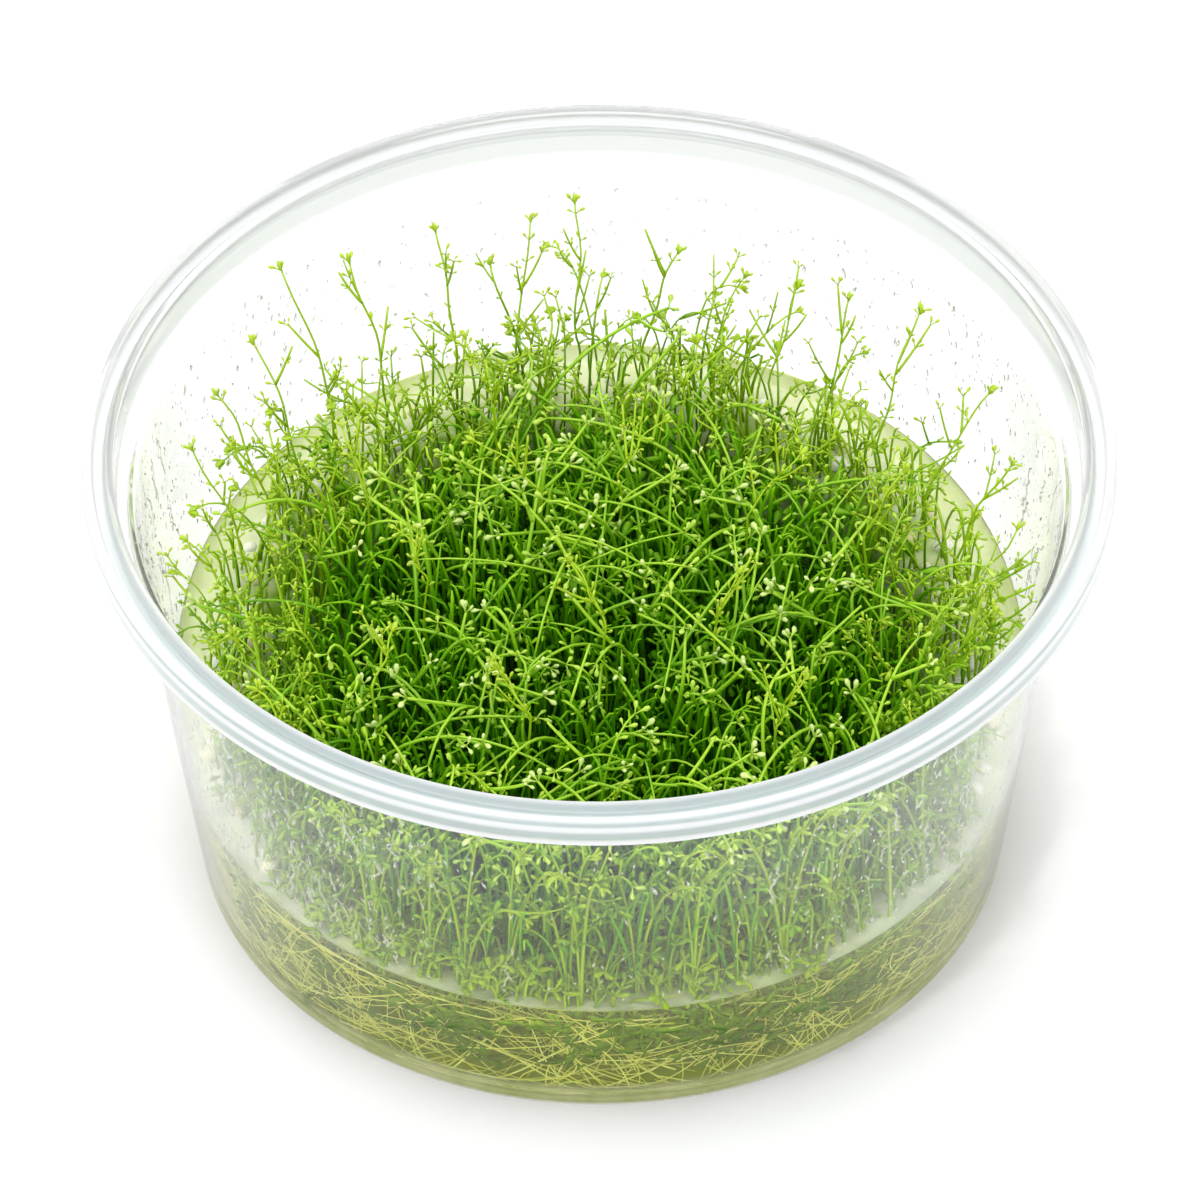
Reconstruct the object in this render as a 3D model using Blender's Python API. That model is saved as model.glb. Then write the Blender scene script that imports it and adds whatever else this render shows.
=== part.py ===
"""A clear tissue culture cup of small aquarium plants, in metres, +Z up, standing on Z = 0.

The cup holds a layer of clear gel with the roots in it. A dense cushion of thin stems stands on
the gel, and single tall shoots stand out of the cushion. The back of the cup is at +Y.
"""

import math
import random

import bmesh
import bpy
from mathutils import Vector
from mathutils.geometry import delaunay_2d_cdt
from mathutils.noise import noise

MM = 0.001
SEGMENTS = 48
GAP = 0.3

# The cup, in millimetres. The wall tapers by WALL_SLOPE for each millimetre of height.
BASE_RADIUS = 39.5
WALL_SLOPE = 0.147
WALL = 0.8
FOOT_HEIGHT = 0.4
FOOT_WIDTH = 2.2
FLOOR_TOP = FOOT_HEIGHT + WALL
FLOOR_BEND = 1.2
LEDGE_HEIGHT = 45.4
LEDGE_RISE = 0.5
SEAT_RADIUS = 47.0
SEAT_FLARE = 0.3
RIM_TOP = 49.9
RIM_RADIUS = 50.5
RIM_THICKNESS = 1.4
BEAD_WIDTH = 1.3
BEAD_BEND = 0.5
SKIRT_BOTTOM = 46.8

# The gel, in millimetres. Its surface lies low at the front and climbs to the back.
GEL_MIDDLE = 18.5
GEL_CLIMB = 5.0
GEL_RUN = 22.0
GEL_RINGS = (31.0, 20.0, 10.0)
POCKET_WALL = 1.0
POCKET_BOTTOM = 2.3
POCKET_TOP = 11.2
PARTING = 6.6

# The roots in the pocket, in millimetres.
MAT_CLEARANCE = 0.45
MAT_SPOKES = 32
MAT_STRAND = 0.9

# The cushion of stems, in millimetres. It is high and dense in an oval core, whose half width
# and half depth are given, and falls off to a low fringe round it.
TURF_SPOKES = 40
TURF_RADIUS = 39.6
TURF_FOOT_RADIUS = 38.2
TURF_HEIGHT = 34.0
TURF_DROOP = 3.0
TURF_FURROW = 1.2
TURF_UNDER_RINGS = (12.0, 25.0)
TURF_LIFT = 1.5 * GAP
TUFTS = 300
TUFT_SHIFT = 0.8
BRISTLE_SHARE = 0.4
BRISTLE = 2.8
CORE_X = 0.5
CORE_Y = -6.5
CORE_WIDTH = 30.5
CORE_DEPTH = 34.0
CORE_FULL = 0.84
CORE_END = 1.12
FRINGE_HEIGHT = 7.0
LUMP_HEIGHT = 1.3
LUMP_SIZE = 9.0
GOLDEN_TURN = math.pi * (3.0 - math.sqrt(5.0))
SEED = 11

# A tall shoot, in millimetres.
STEM_RADIUS = 0.4
SOCKET_DEPTH = 3.5
SOCKET_RADIUS = 1.0
SOCKET_SIDES = 5
STRAIGHT = 6.0
LEAF_LENGTH = 2.0
LEAF_WIDTH = 1.6
LEAF_LIFT = 0.9
LEAF_NODES = (0.3, 0.56, 0.8)
NODE_HEIGHT = 0.8
BUD_RADIUS = 0.75
BUD_LENGTH = 1.9

# Where each tall shoot stands and where its tip is: root x, root y, tip x, tip y, tip height.
SHOOTS = (
    (-2.0, 35.0, -1.9, 41.0, 45.5),
    (-8.0, 33.5, -6.6, 38.6, 45.0),
    (-14.0, 32.5, -15.8, 37.4, 44.8),
    (-21.0, 29.0, -24.4, 32.8, 45.0),
    (-26.0, 24.5, -31.0, 29.4, 47.6),
    (-29.5, 18.5, -33.5, 22.4, 44.0),
    (-32.5, 13.0, -37.2, 15.6, 44.0),
    (-34.5, 6.5, -39.8, 8.6, 43.0),
    (-35.0, -1.0, -40.0, 0.4, 38.5),
    (-33.0, -9.0, -36.4, -10.6, 38.0),
    (4.5, 33.5, 7.9, 36.4, 43.0),
    (11.0, 31.5, 14.2, 33.6, 42.0),
    (17.0, 28.5, 19.8, 31.6, 42.6),
    (22.5, 25.0, 24.8, 28.2, 44.0),
    (27.5, 20.5, 31.4, 25.2, 45.0),
    (32.0, 13.5, 38.4, 16.0, 43.0),
    (35.0, 7.0, 40.4, 8.0, 41.0),
    (35.5, 0.0, 41.0, 1.6, 38.2),
    (33.5, -8.5, 38.0, -9.4, 37.8),
    (-10.0, 20.0, -13.0, 24.5, 42.5),
    (8.0, 21.0, 10.0, 24.0, 42.0),
    (-22.5, 8.5, -25.0, 13.0, 41.5),
    (-6.0, 9.0, -12.0, 12.0, 41.0),
    (2.0, 11.0, 6.0, 14.5, 41.0),
    (14.5, 5.5, 19.6, 9.2, 41.4),
    (26.0, 4.0, 29.5, 6.8, 41.0),
    (-17.0, -3.0, -19.5, 0.0, 40.6),
    (0.5, -9.0, -2.6, -5.4, 41.0),
    (11.0, -10.0, 13.5, -6.5, 40.5),
    (-22.0, -17.0, -20.0, -13.5, 39.5),
    (-7.0, -22.0, -10.0, -19.0, 40.0),
    (17.0, -23.0, 19.5, -20.5, 39.5),
)


def clear_scene():
    for thing in list(bpy.data.objects):
        bpy.data.objects.remove(thing, do_unlink=True)


def material(name, color, roughness, alpha=1.0):
    """A plain surface colour for one sub-part."""
    made = bpy.data.materials.new(name)
    made.use_nodes = True
    shader = made.node_tree.nodes["Principled BSDF"]
    shader.inputs["Base Color"].default_value = (*color, 1.0)
    shader.inputs["Roughness"].default_value = roughness
    shader.inputs["Metallic"].default_value = 0.0
    shader.inputs["Alpha"].default_value = alpha
    return made


def circle(radius, height, count=SEGMENTS, turn=0.0):
    """A level ring of points round the axis."""
    turns = [turn + math.tau * step / count for step in range(count)]
    return [Vector((radius * math.cos(at), radius * math.sin(at), height)) for at in turns]


def skin(rings):
    """An edited mesh over rings of points in millimetres, and its rows of vertices.

    A ring of one point closes an end.
    """
    mesh = bmesh.new()
    rows = [[mesh.verts.new(point * MM) for point in ring] for ring in rings]
    for lower, upper in zip(rows, rows[1:]):
        count = max(len(lower), len(upper))
        for step in range(count):
            after = (step + 1) % count
            corners = [lower[step % len(lower)], lower[after % len(lower)]]
            corners += [upper[after % len(upper)], upper[step % len(upper)]]
            mesh.faces.new(dict.fromkeys(corners))
    return mesh, rows


def close(mesh, rows):
    """Closes the ends that are still open and turns all faces outward."""
    for row in rows:
        if len(row) > 1:
            mesh.faces.new(row)
    bmesh.ops.recalc_face_normals(mesh, faces=mesh.faces)


def closed_skin(name, rings, surface, smooth=True):
    mesh, rows = skin(rings)
    close(mesh, (rows[0], rows[-1]))
    return finish(name, mesh, surface, smooth)


def finish(name, mesh, surface, smooth=True):
    """Turns an edited mesh into a named object with its material."""
    data = bpy.data.meshes.new(name)
    mesh.to_mesh(data)
    mesh.free()
    data.materials.append(surface)
    if smooth:
        data.shade_smooth()
        data.set_sharp_from_angle(angle=math.radians(35))
    thing = bpy.data.objects.new(name, data)
    bpy.context.scene.collection.objects.link(thing)
    return thing


def wall_radius(height):
    """The outer radius of the tapering wall."""
    return BASE_RADIUS + WALL_SLOPE * height


def inner_radius(height):
    return wall_radius(height) - WALL


def gel_radius(height):
    return inner_radius(height) - GAP


def gel_top(y):
    """The height of the gel's surface, which climbs from the front to the back."""
    return GEL_MIDDLE + GEL_CLIMB * math.tanh(y / GEL_RUN)


def core_share(x, y):
    """1 in the cushion's core and 0 in the fringe, with a soft fall between them."""
    distance = math.hypot((x - CORE_X) / CORE_WIDTH, (y - CORE_Y) / CORE_DEPTH)
    share = min(1.0, max(0.0, (CORE_END - distance) / (CORE_END - CORE_FULL)))
    return share * share * (3.0 - 2.0 * share)


def turf_top(x, y):
    """The mean height of the cushion's top, from its core out to its low fringe."""
    share = math.hypot(x, y) / TURF_RADIUS
    lumps = LUMP_HEIGHT * noise(Vector((x / LUMP_SIZE, y / LUMP_SIZE, 0.5)))
    core = TURF_HEIGHT - TURF_DROOP * share**4 + lumps
    fringe = gel_top(y) + FRINGE_HEIGHT
    return fringe + core_share(x, y) * (core - fringe)


def make_cup(surface):
    """The turned cup: inside from the floor's middle up to the rim, then down the outside."""
    foot_inner = BASE_RADIUS - FOOT_WIDTH
    skirt_inner = RIM_RADIUS - WALL
    seat_top = SEAT_RADIUS + SEAT_FLARE
    groove = RIM_TOP - BEAD_BEND
    underside = RIM_TOP - RIM_THICKNESS
    wall_end = LEDGE_HEIGHT - FLOOR_BEND
    profile = [
        (inner_radius(FLOOR_TOP) - FLOOR_BEND, FLOOR_TOP),
        (inner_radius(FLOOR_TOP + FLOOR_BEND), FLOOR_TOP + FLOOR_BEND),
        (inner_radius(LEDGE_HEIGHT), LEDGE_HEIGHT),
        (SEAT_RADIUS - BEAD_BEND, LEDGE_HEIGHT + LEDGE_RISE),
        (SEAT_RADIUS, LEDGE_HEIGHT + 2.0 * LEDGE_RISE),
        (seat_top, RIM_TOP - 0.5 * BEAD_BEND),
        (seat_top + 0.5 * BEAD_BEND, RIM_TOP),
        (seat_top + 1.5 * BEAD_BEND, RIM_TOP - 0.1),
        (seat_top + 2.0 * BEAD_BEND, groove),
        (RIM_RADIUS - BEAD_WIDTH, groove),
        (RIM_RADIUS - 2.0 * BEAD_BEND, RIM_TOP - 0.1),
        (RIM_RADIUS - BEAD_BEND, RIM_TOP),
        (RIM_RADIUS, groove),
        (RIM_RADIUS, SKIRT_BOTTOM),
        (skirt_inner, SKIRT_BOTTOM),
        (skirt_inner, underside),
        (seat_top + WALL, underside),
        (SEAT_RADIUS + WALL, LEDGE_HEIGHT + LEDGE_RISE),
        (SEAT_RADIUS, LEDGE_HEIGHT - LEDGE_RISE),
        (wall_radius(wall_end), wall_end),
        (wall_radius(FLOOR_BEND), FLOOR_BEND),
        (BASE_RADIUS - BEAD_BEND, 0.0),
        (foot_inner, 0.0),
        (foot_inner - FOOT_HEIGHT, FOOT_HEIGHT),
    ]
    rings = [circle(radius, height) for radius, height in profile]
    return closed_skin("cup", rings, surface)


def on_gel(ring, clearance=0.0):
    """Sets a ring's points on the gel's surface."""
    for point in ring:
        point.z = gel_top(point.y) + clearance
    return ring


def gel_rim():
    """The line where the gel's surface meets the wall."""
    rim = on_gel(circle(gel_radius(GEL_MIDDLE), 0.0))
    for point in rim:
        point.xy *= gel_radius(point.z) / point.xy.length
    return rim


def make_gel(surface):
    """The gel in two halves, with the pocket for the roots between them."""
    lower_top = PARTING - GAP / 2
    upper_bottom = PARTING + GAP / 2
    floor = FLOOR_TOP + GAP
    lower = [
        circle(gel_radius(floor) - FLOOR_BEND, floor),
        circle(gel_radius(floor + FLOOR_BEND), floor + FLOOR_BEND),
        circle(gel_radius(lower_top), lower_top),
        circle(gel_radius(lower_top) - POCKET_WALL, lower_top),
        circle(gel_radius(POCKET_BOTTOM) - POCKET_WALL, POCKET_BOTTOM),
    ]
    closed_skin("gel_lower", lower, surface)
    upper = [
        circle(gel_radius(POCKET_TOP) - POCKET_WALL, POCKET_TOP),
        circle(gel_radius(upper_bottom) - POCKET_WALL, upper_bottom),
        circle(gel_radius(upper_bottom), upper_bottom),
        gel_rim(),
        *(on_gel(circle(radius, 0.0)) for radius in GEL_RINGS),
        [Vector((0.0, 0.0, gel_top(0.0)))],
    ]
    closed_skin("gel_upper", upper, surface)


def mat_ring(share, height):
    """One ring of the root mat, with its strands standing out by turns."""
    reach = (gel_radius(height) - POCKET_WALL - MAT_CLEARANCE) * share
    ring = circle(reach, height, MAT_SPOKES)
    for point in ring[1::2]:
        point.xy *= 1.0 - MAT_STRAND / reach
        point.z += 0.5 * MAT_STRAND
    return ring


def make_root_mat(surface):
    """The tangle of pale roots, a low ribbed drum that fills the pocket in the gel."""
    bottom = POCKET_BOTTOM + MAT_CLEARANCE
    top = POCKET_TOP - MAT_CLEARANCE - MAT_STRAND
    rings = [
        [Vector((0.0, 0.0, bottom))],
        mat_ring(0.6, bottom),
        mat_ring(0.95, bottom),
        mat_ring(1.0, (bottom + top) / 2),
        mat_ring(0.96, top),
        mat_ring(0.5, top - 0.5 * MAT_STRAND),
        [Vector((0.0, 0.0, top))],
    ]
    return closed_skin("root_mat", rings, surface, smooth=False)


def turf_tufts(edge):
    """The cushion's bristly top: points in a sunflower's order inside its edge, and their faces."""
    draws = random.Random(SEED)
    points = [point.copy() for point in edge]
    for count in range(TUFTS):
        radius = (TURF_RADIUS - 2.0 * TUFT_SHIFT) * math.sqrt((count + 0.5) / TUFTS)
        turn = count * GOLDEN_TURN
        point = Vector((radius * math.cos(turn), radius * math.sin(turn), 0.0))
        point.x += draws.uniform(-TUFT_SHIFT, TUFT_SHIFT)
        point.y += draws.uniform(-TUFT_SHIFT, TUFT_SHIFT)
        stands_up = draws.random() < BRISTLE_SHARE
        bristle = draws.uniform(0.4, 1.2) if stands_up else -draws.uniform(0.0, 0.5)
        point.z = turf_top(point.x, point.y) + bristle * BRISTLE
        points.append(point)
    flat = [point.xy for point in points]
    _places, _edges, faces, origins, *_rest = delaunay_2d_cdt(flat, [], [], 0, 0.001)
    return points, [[origins[corner][0] for corner in face] for face in faces]


def turf_side_rings():
    """The cushion's underside on the gel's slope, and its side up to the edge of its top."""
    rings = [on_gel([Vector()], TURF_LIFT)]
    for radius in (*TURF_UNDER_RINGS, TURF_FOOT_RADIUS):
        rings.append(on_gel(circle(radius, 0.0, TURF_SPOKES), TURF_LIFT))
    for rise, furrow in ((0.5, TURF_FURROW), (1.0, 0.0)):
        ring = on_gel(circle(TURF_RADIUS, 0.0, TURF_SPOKES))
        for point in ring:
            point.z += rise * (turf_top(point.x, point.y) - point.z)
        for point in ring[1::2]:
            point.xy *= 1.0 - furrow / TURF_RADIUS
        rings.append(ring)
    return rings


def make_turf(surface, cutter):
    """The cushion of stems, lying on the gel, with a socket for each tall shoot."""
    rings = turf_side_rings()
    mesh, rows = skin(rings)
    points, faces = turf_tufts(rings[-1])
    corners = rows[-1] + [mesh.verts.new(point * MM) for point in points[TURF_SPOKES:]]
    for face in faces:
        mesh.faces.new([corners[corner] for corner in face])
    bmesh.ops.recalc_face_normals(mesh, faces=mesh.faces)
    turf = finish("turf", mesh, surface, smooth=False)
    cut = turf.modifiers.new("sockets", "BOOLEAN")
    cut.operation = "DIFFERENCE"
    cut.solver = "EXACT"
    cut.object = cutter
    return turf


def shoot_root(x, y):
    """The foot of a shoot, at the bottom of its socket in the cushion."""
    return Vector((x, y, turf_top(x, y) - SOCKET_DEPTH))


def make_socket_cutter(surface):
    """All sockets in one guide mesh: an upright prism at each shoot's foot."""
    mesh = bmesh.new()
    top = TURF_HEIGHT + 4.0 * BRISTLE
    for x, y, *_tip in SHOOTS:
        bottom = shoot_root(x, y).z - GAP
        middle = Vector((x, y, 0.5 * (bottom + top))) * MM
        made = bmesh.ops.create_cone(
            mesh,
            cap_ends=True,
            segments=SOCKET_SIDES,
            radius1=SOCKET_RADIUS * MM,
            radius2=SOCKET_RADIUS * MM,
            depth=(top - bottom) * MM,
        )
        bmesh.ops.translate(mesh, verts=made["verts"], vec=middle)
    cutter = finish("socket_cutter", mesh, surface, smooth=False)
    cutter.hide_render = True
    cutter.display_type = "WIRE"
    return cutter


def shoot_line(root, tip):
    """The stem's line: straight up out of its socket, then curving over to its tip."""
    collar = root + Vector((0.0, 0.0, STRAIGHT))
    control = collar.lerp(tip, 0.35)
    control.z = collar.z + 0.6 * (tip.z - collar.z)

    def at(share):
        return collar.lerp(control, share).lerp(control.lerp(tip, share), share)

    return at, (tip - collar).length


def grow_leaf(mesh, face, along):
    """One leaf, drawn out of a face of the stem, widening and then coming to a point."""
    out = (face.normal + LEAF_LIFT * along).normalized() * 0.5 * LEAF_LENGTH * MM
    blade = bmesh.ops.extrude_discrete_faces(mesh, faces=[face])["faces"][0]
    middle = blade.calc_center_median()
    for corner in blade.verts:
        corner.co = middle + LEAF_WIDTH * (corner.co - middle) + out
    point = bmesh.ops.poke(mesh, faces=[blade])["verts"][0]
    point.co += out


def make_shoot(name, root, tip, turn, surface):
    """One tall shoot: its stem with pairs of leaves and the bud at its end."""
    at, length = shoot_line(root, tip)
    half_node = 0.5 * NODE_HEIGHT / length
    bud = BUD_LENGTH / length
    stations = [(0.0, STEM_RADIUS)]
    for share in LEAF_NODES:
        stations += [(share - half_node, STEM_RADIUS), (share + half_node, STEM_RADIUS)]
    stations.append((1.0 - 0.6 * bud, BUD_RADIUS))
    flat_ring = circle(1.0, 0.0, 4, turn)
    rings = [[root + STEM_RADIUS * arm for arm in flat_ring]]
    rings += [[at(share) + radius * arm for arm in flat_ring] for share, radius in stations]
    rings.append([at(1.0)])
    mesh, rows = skin(rings)
    close(mesh, (rows[0],))
    mesh.faces.ensure_lookup_table()
    sides = list(mesh.faces)
    along = (tip - root).normalized()
    for count in range(len(LEAF_NODES)):
        band = 4 * (2 + 2 * count)
        for side in (0, 2):
            grow_leaf(mesh, sides[band + (side + count) % 4], along)
    return finish(name, mesh, surface, smooth=False)


def main():
    clear_scene()
    plastic = material("clear_plastic", (0.86, 0.89, 0.88), 0.12, 0.35)
    gel = material("culture_gel", (0.62, 0.66, 0.38), 0.08, 0.5)
    roots = material("root", (0.80, 0.78, 0.52), 0.5)
    foliage = material("foliage", (0.12, 0.33, 0.03), 0.45)
    shoots = material("shoot", (0.34, 0.58, 0.07), 0.4)
    make_cup(plastic)
    make_gel(gel)
    make_root_mat(roots)
    cutter = make_socket_cutter(foliage)
    make_turf(foliage, cutter)
    for number, (root_x, root_y, *tip) in enumerate(SHOOTS, start=1):
        root = shoot_root(root_x, root_y)
        make_shoot(f"shoot_{number:02d}", root, Vector(tip), number * GOLDEN_TURN, shoots)


main()
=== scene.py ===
"""The looks of a clear culture cup that holds a dense turf of small aquarium plants in gel.

Shapes are worked out in millimetres and turned into metres when a mesh is made. The back of the
cup is at +Y, and the cup stands on Z = 0. Random values come from seeded draws, so every run
gives the same plants.
"""

import math

import bpy
import numpy as np
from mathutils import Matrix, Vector
from mathutils.noise import noise


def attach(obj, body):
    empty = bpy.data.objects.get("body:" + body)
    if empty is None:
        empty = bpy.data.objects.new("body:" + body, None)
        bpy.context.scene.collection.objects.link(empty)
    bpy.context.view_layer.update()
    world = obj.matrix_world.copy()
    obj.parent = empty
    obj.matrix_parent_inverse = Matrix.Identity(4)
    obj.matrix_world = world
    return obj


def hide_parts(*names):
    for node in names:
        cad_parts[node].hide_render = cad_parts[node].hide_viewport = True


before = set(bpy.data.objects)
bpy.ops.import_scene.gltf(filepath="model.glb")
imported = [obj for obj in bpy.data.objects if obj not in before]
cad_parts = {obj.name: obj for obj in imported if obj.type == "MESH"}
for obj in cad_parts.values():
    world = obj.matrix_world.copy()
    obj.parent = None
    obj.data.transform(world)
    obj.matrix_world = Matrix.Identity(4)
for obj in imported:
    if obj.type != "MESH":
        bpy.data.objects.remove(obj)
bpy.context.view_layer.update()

MM = 0.001
TURN = math.tau
GOLDEN_TURN = math.pi * (3.0 - math.sqrt(5.0))
FRONT = -TURN / 4

# The camera, in millimetres and degrees.
CAMERA_ELEVATION = 44.29
CAMERA_DISTANCE = 2640.8
CAMERA_AIM = 30.64
CAMERA_LENS = 810.0
CAMERA_SENSOR = 36.0
CAMERA_ROLL = 0.4

# The studio, in metres and watts. A light is a name, a place, a diameter and a power.
LIGHTS = (("softbox", (-0.12, 0.12, 1.2), 0.7, 4.0), ("key", (-0.25, -0.3, 1.15), 0.12, 2.0))
LIGHT_AIM = (0.0, 0.0, 0.03)
FLOOR_REACH = 3.0
FLOOR_DROP = 0.00002
# The world's brightness, from the horizon and all below it to straight above.
WORLD_LEVELS = ((0.0, 0.84), (0.12, 0.76), (0.4, 0.9), (1.0, 0.97))

# The cup, as in the frame.
BASE_RADIUS = 39.5
WALL_SLOPE = 0.147
WALL = 0.8
FOOT_HEIGHT = 0.4
FOOT_WIDTH = 2.2
FLOOR_TOP = FOOT_HEIGHT + WALL
FLOOR_BEND = 1.2
FLOOR_FLAT = 30.0
LEDGE_HEIGHT = 45.4
LEDGE_RISE = 0.5
SEAT_RADIUS = 47.0
SEAT_FLARE = 0.3
RIM_TOP = 49.9
RIM_RADIUS = 50.5
RIM_THICKNESS = 1.4
BEAD_WIDTH = 1.3
BEAD_BEND = 0.5
SKIRT_BOTTOM = 46.8
ROUND_STEPS = 180
BEND_STEPS = 3

# The gel, as in the frame.
GEL_MIDDLE = 18.5
GEL_CLIMB = 5.0
GEL_RUN = 22.0
GEL_GAP = 0.04

# The turf, as in the frame.
TURF_RADIUS = 39.6
TURF_HEIGHT = 34.0
TURF_DROOP = 3.0
LUMP_HEIGHT = 1.3
LUMP_SIZE = 9.0
CORE_X = 0.5
CORE_Y = -6.5
CORE_WIDTH = 30.5
CORE_DEPTH = 34.0
CORE_FULL = 0.84
CORE_END = 1.12
FRINGE_HEIGHT = 7.0
SOCKET_DEPTH = 3.5
STRAIGHT = 6.0

# How far from the cup's axis each kind of thing may start.
ROOT_REACH = 39.9
SUNKEN_REACH = 39.7
BEAD_REACH = 39.0
FRINGE_REACH = 38.8
SWARD_REACH = 37.6
CARPET_REACH = 37.2
ARCH_REACH = 37.0

# How many places are tried for each kind of plant.
SWARD_TRIES = 2120
CARPET_TRIES = 2900
ARCH_TRIES = 330
FRINGE_TRIES = 1350

# Condensation: the highest that drops and runs reach, and roughly the wall's radius.
DROP_TOP = 43.5
RUN_TOP = 42.0
WET_RADIUS = 40.0

# The tall shoots, as in the frame: root x, root y, tip x, tip y, tip height.
SHOOTS = np.array((
    (-2.0, 35.0, -1.9, 41.0, 45.5),
    (-8.0, 33.5, -6.6, 38.6, 45.0),
    (-14.0, 32.5, -15.8, 37.4, 44.8),
    (-21.0, 29.0, -24.4, 32.8, 45.0),
    (-26.0, 24.5, -31.0, 29.4, 47.6),
    (-29.5, 18.5, -33.5, 22.4, 44.0),
    (-32.5, 13.0, -37.2, 15.6, 44.0),
    (-34.5, 6.5, -39.8, 8.6, 43.0),
    (-35.0, -1.0, -40.0, 0.4, 38.5),
    (-33.0, -9.0, -36.4, -10.6, 38.0),
    (4.5, 33.5, 7.9, 36.4, 43.0),
    (11.0, 31.5, 14.2, 33.6, 42.0),
    (17.0, 28.5, 19.8, 31.6, 42.6),
    (22.5, 25.0, 24.8, 28.2, 44.0),
    (27.5, 20.5, 31.4, 25.2, 45.0),
    (32.0, 13.5, 38.4, 16.0, 43.0),
    (35.0, 7.0, 40.4, 8.0, 41.0),
    (35.5, 0.0, 41.0, 1.6, 38.2),
    (33.5, -8.5, 38.0, -9.4, 37.8),
    (-10.0, 20.0, -13.0, 24.5, 42.5),
    (8.0, 21.0, 10.0, 24.0, 42.0),
    (-22.5, 8.5, -25.0, 13.0, 41.5),
    (-6.0, 9.0, -12.0, 12.0, 41.0),
    (2.0, 11.0, 6.0, 14.5, 41.0),
    (14.5, 5.5, 19.6, 9.2, 41.4),
    (26.0, 4.0, 29.5, 6.8, 41.0),
    (-17.0, -3.0, -19.5, 0.0, 40.6),
    (0.5, -9.0, -2.6, -5.4, 41.0),
    (11.0, -10.0, 13.5, -6.5, 40.5),
    (-22.0, -17.0, -20.0, -13.5, 39.5),
    (-7.0, -22.0, -10.0, -19.0, 40.0),
    (17.0, -23.0, 19.5, -20.5, 39.5),
))
SHOOT_NODES = [f"shoot_{number:02d}" for number in range(1, len(SHOOTS) + 1)]

# How the clear things bend light, and the colour and the strength of what their bodies take up.
PLASTIC_BEND = 1.45
WATER_BEND = 1.45
GEL_BEND = 1.06
PLASTIC_SOAK = {"Color": (0.8, 0.8, 0.82, 1.0), "Density": 45.0}
GEL_SOAK = {"Color": (0.785, 0.84, 0.0, 1.0), "Density": 62.0}
HAZE = 0.038

# Plant skins: colours low down, half way up, at the top and where young, the heights where the
# first and the third are reached, the gloss and the roughness. The dark colours low down are
# partly the plants' own colour and partly painted shade deep in the turf.
SKINS = {
    "sunken_leaf": (
        ((0.04, 0.11, 0.002), (0.06, 0.16, 0.002), (0.1, 0.23, 0.003), (0.18, 0.34, 0.008)),
        (2.0, 18.0), 0.1, 0.4,
    ),
    "carpet_leaf": (
        ((0.03, 0.14, 0.001), (0.08, 0.32, 0.001), (0.09, 0.36, 0.002), (0.14, 0.44, 0.004)),
        (10.0, 34.0), 0.05, 0.55,
    ),
    "turf_stem": (
        ((0.005, 0.03, 0.001), (0.08, 0.36, 0.001), (0.28, 0.66, 0.001), (0.5, 0.78, 0.02)),
        (12.0, 36.0), 0.05, 0.55,
    ),
    "turf_leaf": (
        ((0.02, 0.1, 0.001), (0.12, 0.42, 0.001), (0.36, 0.7, 0.002), (0.7, 0.88, 0.14)),
        (14.0, 37.0), 0.3, 0.3,
    ),
    "shoot_leaf": (
        ((0.04, 0.15, 0.001), (0.16, 0.4, 0.001), (0.37, 0.6, 0.003), (0.6, 0.74, 0.05)),
        (16.0, 44.0), 0.2, 0.4,
    ),
    "fringe_leaf": (
        ((0.14, 0.36, 0.003), (0.26, 0.52, 0.004), (0.38, 0.64, 0.006), (0.58, 0.78, 0.06)),
        (12.0, 36.0), 0.12, 0.45,
    ),
    "front_leaf": (
        ((0.28, 0.48, 0.003), (0.36, 0.56, 0.003), (0.38, 0.58, 0.004), (0.5, 0.68, 0.03)),
        (8.0, 30.0), 0.2, 0.4,
    ),
    "tangle_leaf": (
        ((0.42, 0.6, 0.003), (0.2, 0.42, 0.002), (0.11, 0.32, 0.002), (0.32, 0.54, 0.01)),
        (16.0, 34.0), 0.08, 0.5,
    ),
}

# How often a ray may bounce or pass through the clear layers, and what is left out to save time.
LIGHT_PATHS = {
    "max_bounces": 9,
    "diffuse_bounces": 2,
    "glossy_bounces": 2,
    "transmission_bounces": 9,
    "transparent_max_bounces": 20,
    "volume_bounces": 0,
    "use_light_tree": False,
    "caustics_reflective": False,
    "caustics_refractive": False,
    "sample_clamp_indirect": 4.0,
}

scene = bpy.context.scene


# Small helpers

def unit(vectors):
    return vectors / np.maximum(np.linalg.norm(vectors, axis=-1, keepdims=True), 1e-9)


def stack(*parts):
    """Vectors from their x, y and z, each a number or an array."""
    return np.stack(np.broadcast_arrays(*parts), axis=-1).astype(float)


def around(radius, turns):
    """x and y at a radius and a turn about the cup's axis."""
    return radius * np.cos(turns), radius * np.sin(turns)


def smooth(value, low, high):
    """0 below low, 1 above high, and a soft step between them."""
    share = np.clip((value - low) / (high - low), 0.0, 1.0)
    return share * share * (3.0 - 2.0 * share)


def inner_radius(height):
    return BASE_RADIUS + WALL_SLOPE * height - WALL


def gel_top(y):
    return GEL_MIDDLE + GEL_CLIMB * np.tanh(y / GEL_RUN)


def canopy_top(x, y):
    """The mean height of the stems' tops."""
    lumps = [noise(Vector((a / LUMP_SIZE, b / LUMP_SIZE, 0.5))) for a, b in zip(x, y)]
    share = np.hypot(x, y) / TURF_RADIUS
    return TURF_HEIGHT - TURF_DROOP * share**4 + LUMP_HEIGHT * np.array(lumps)


def core_share(x, y):
    """1 in the turf's dense core and 0 in the fringe, with a soft fall between them."""
    distance = np.hypot((x - CORE_X) / CORE_WIDTH, (y - CORE_Y) / CORE_DEPTH)
    return 1.0 - smooth(distance, CORE_FULL, CORE_END)


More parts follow.
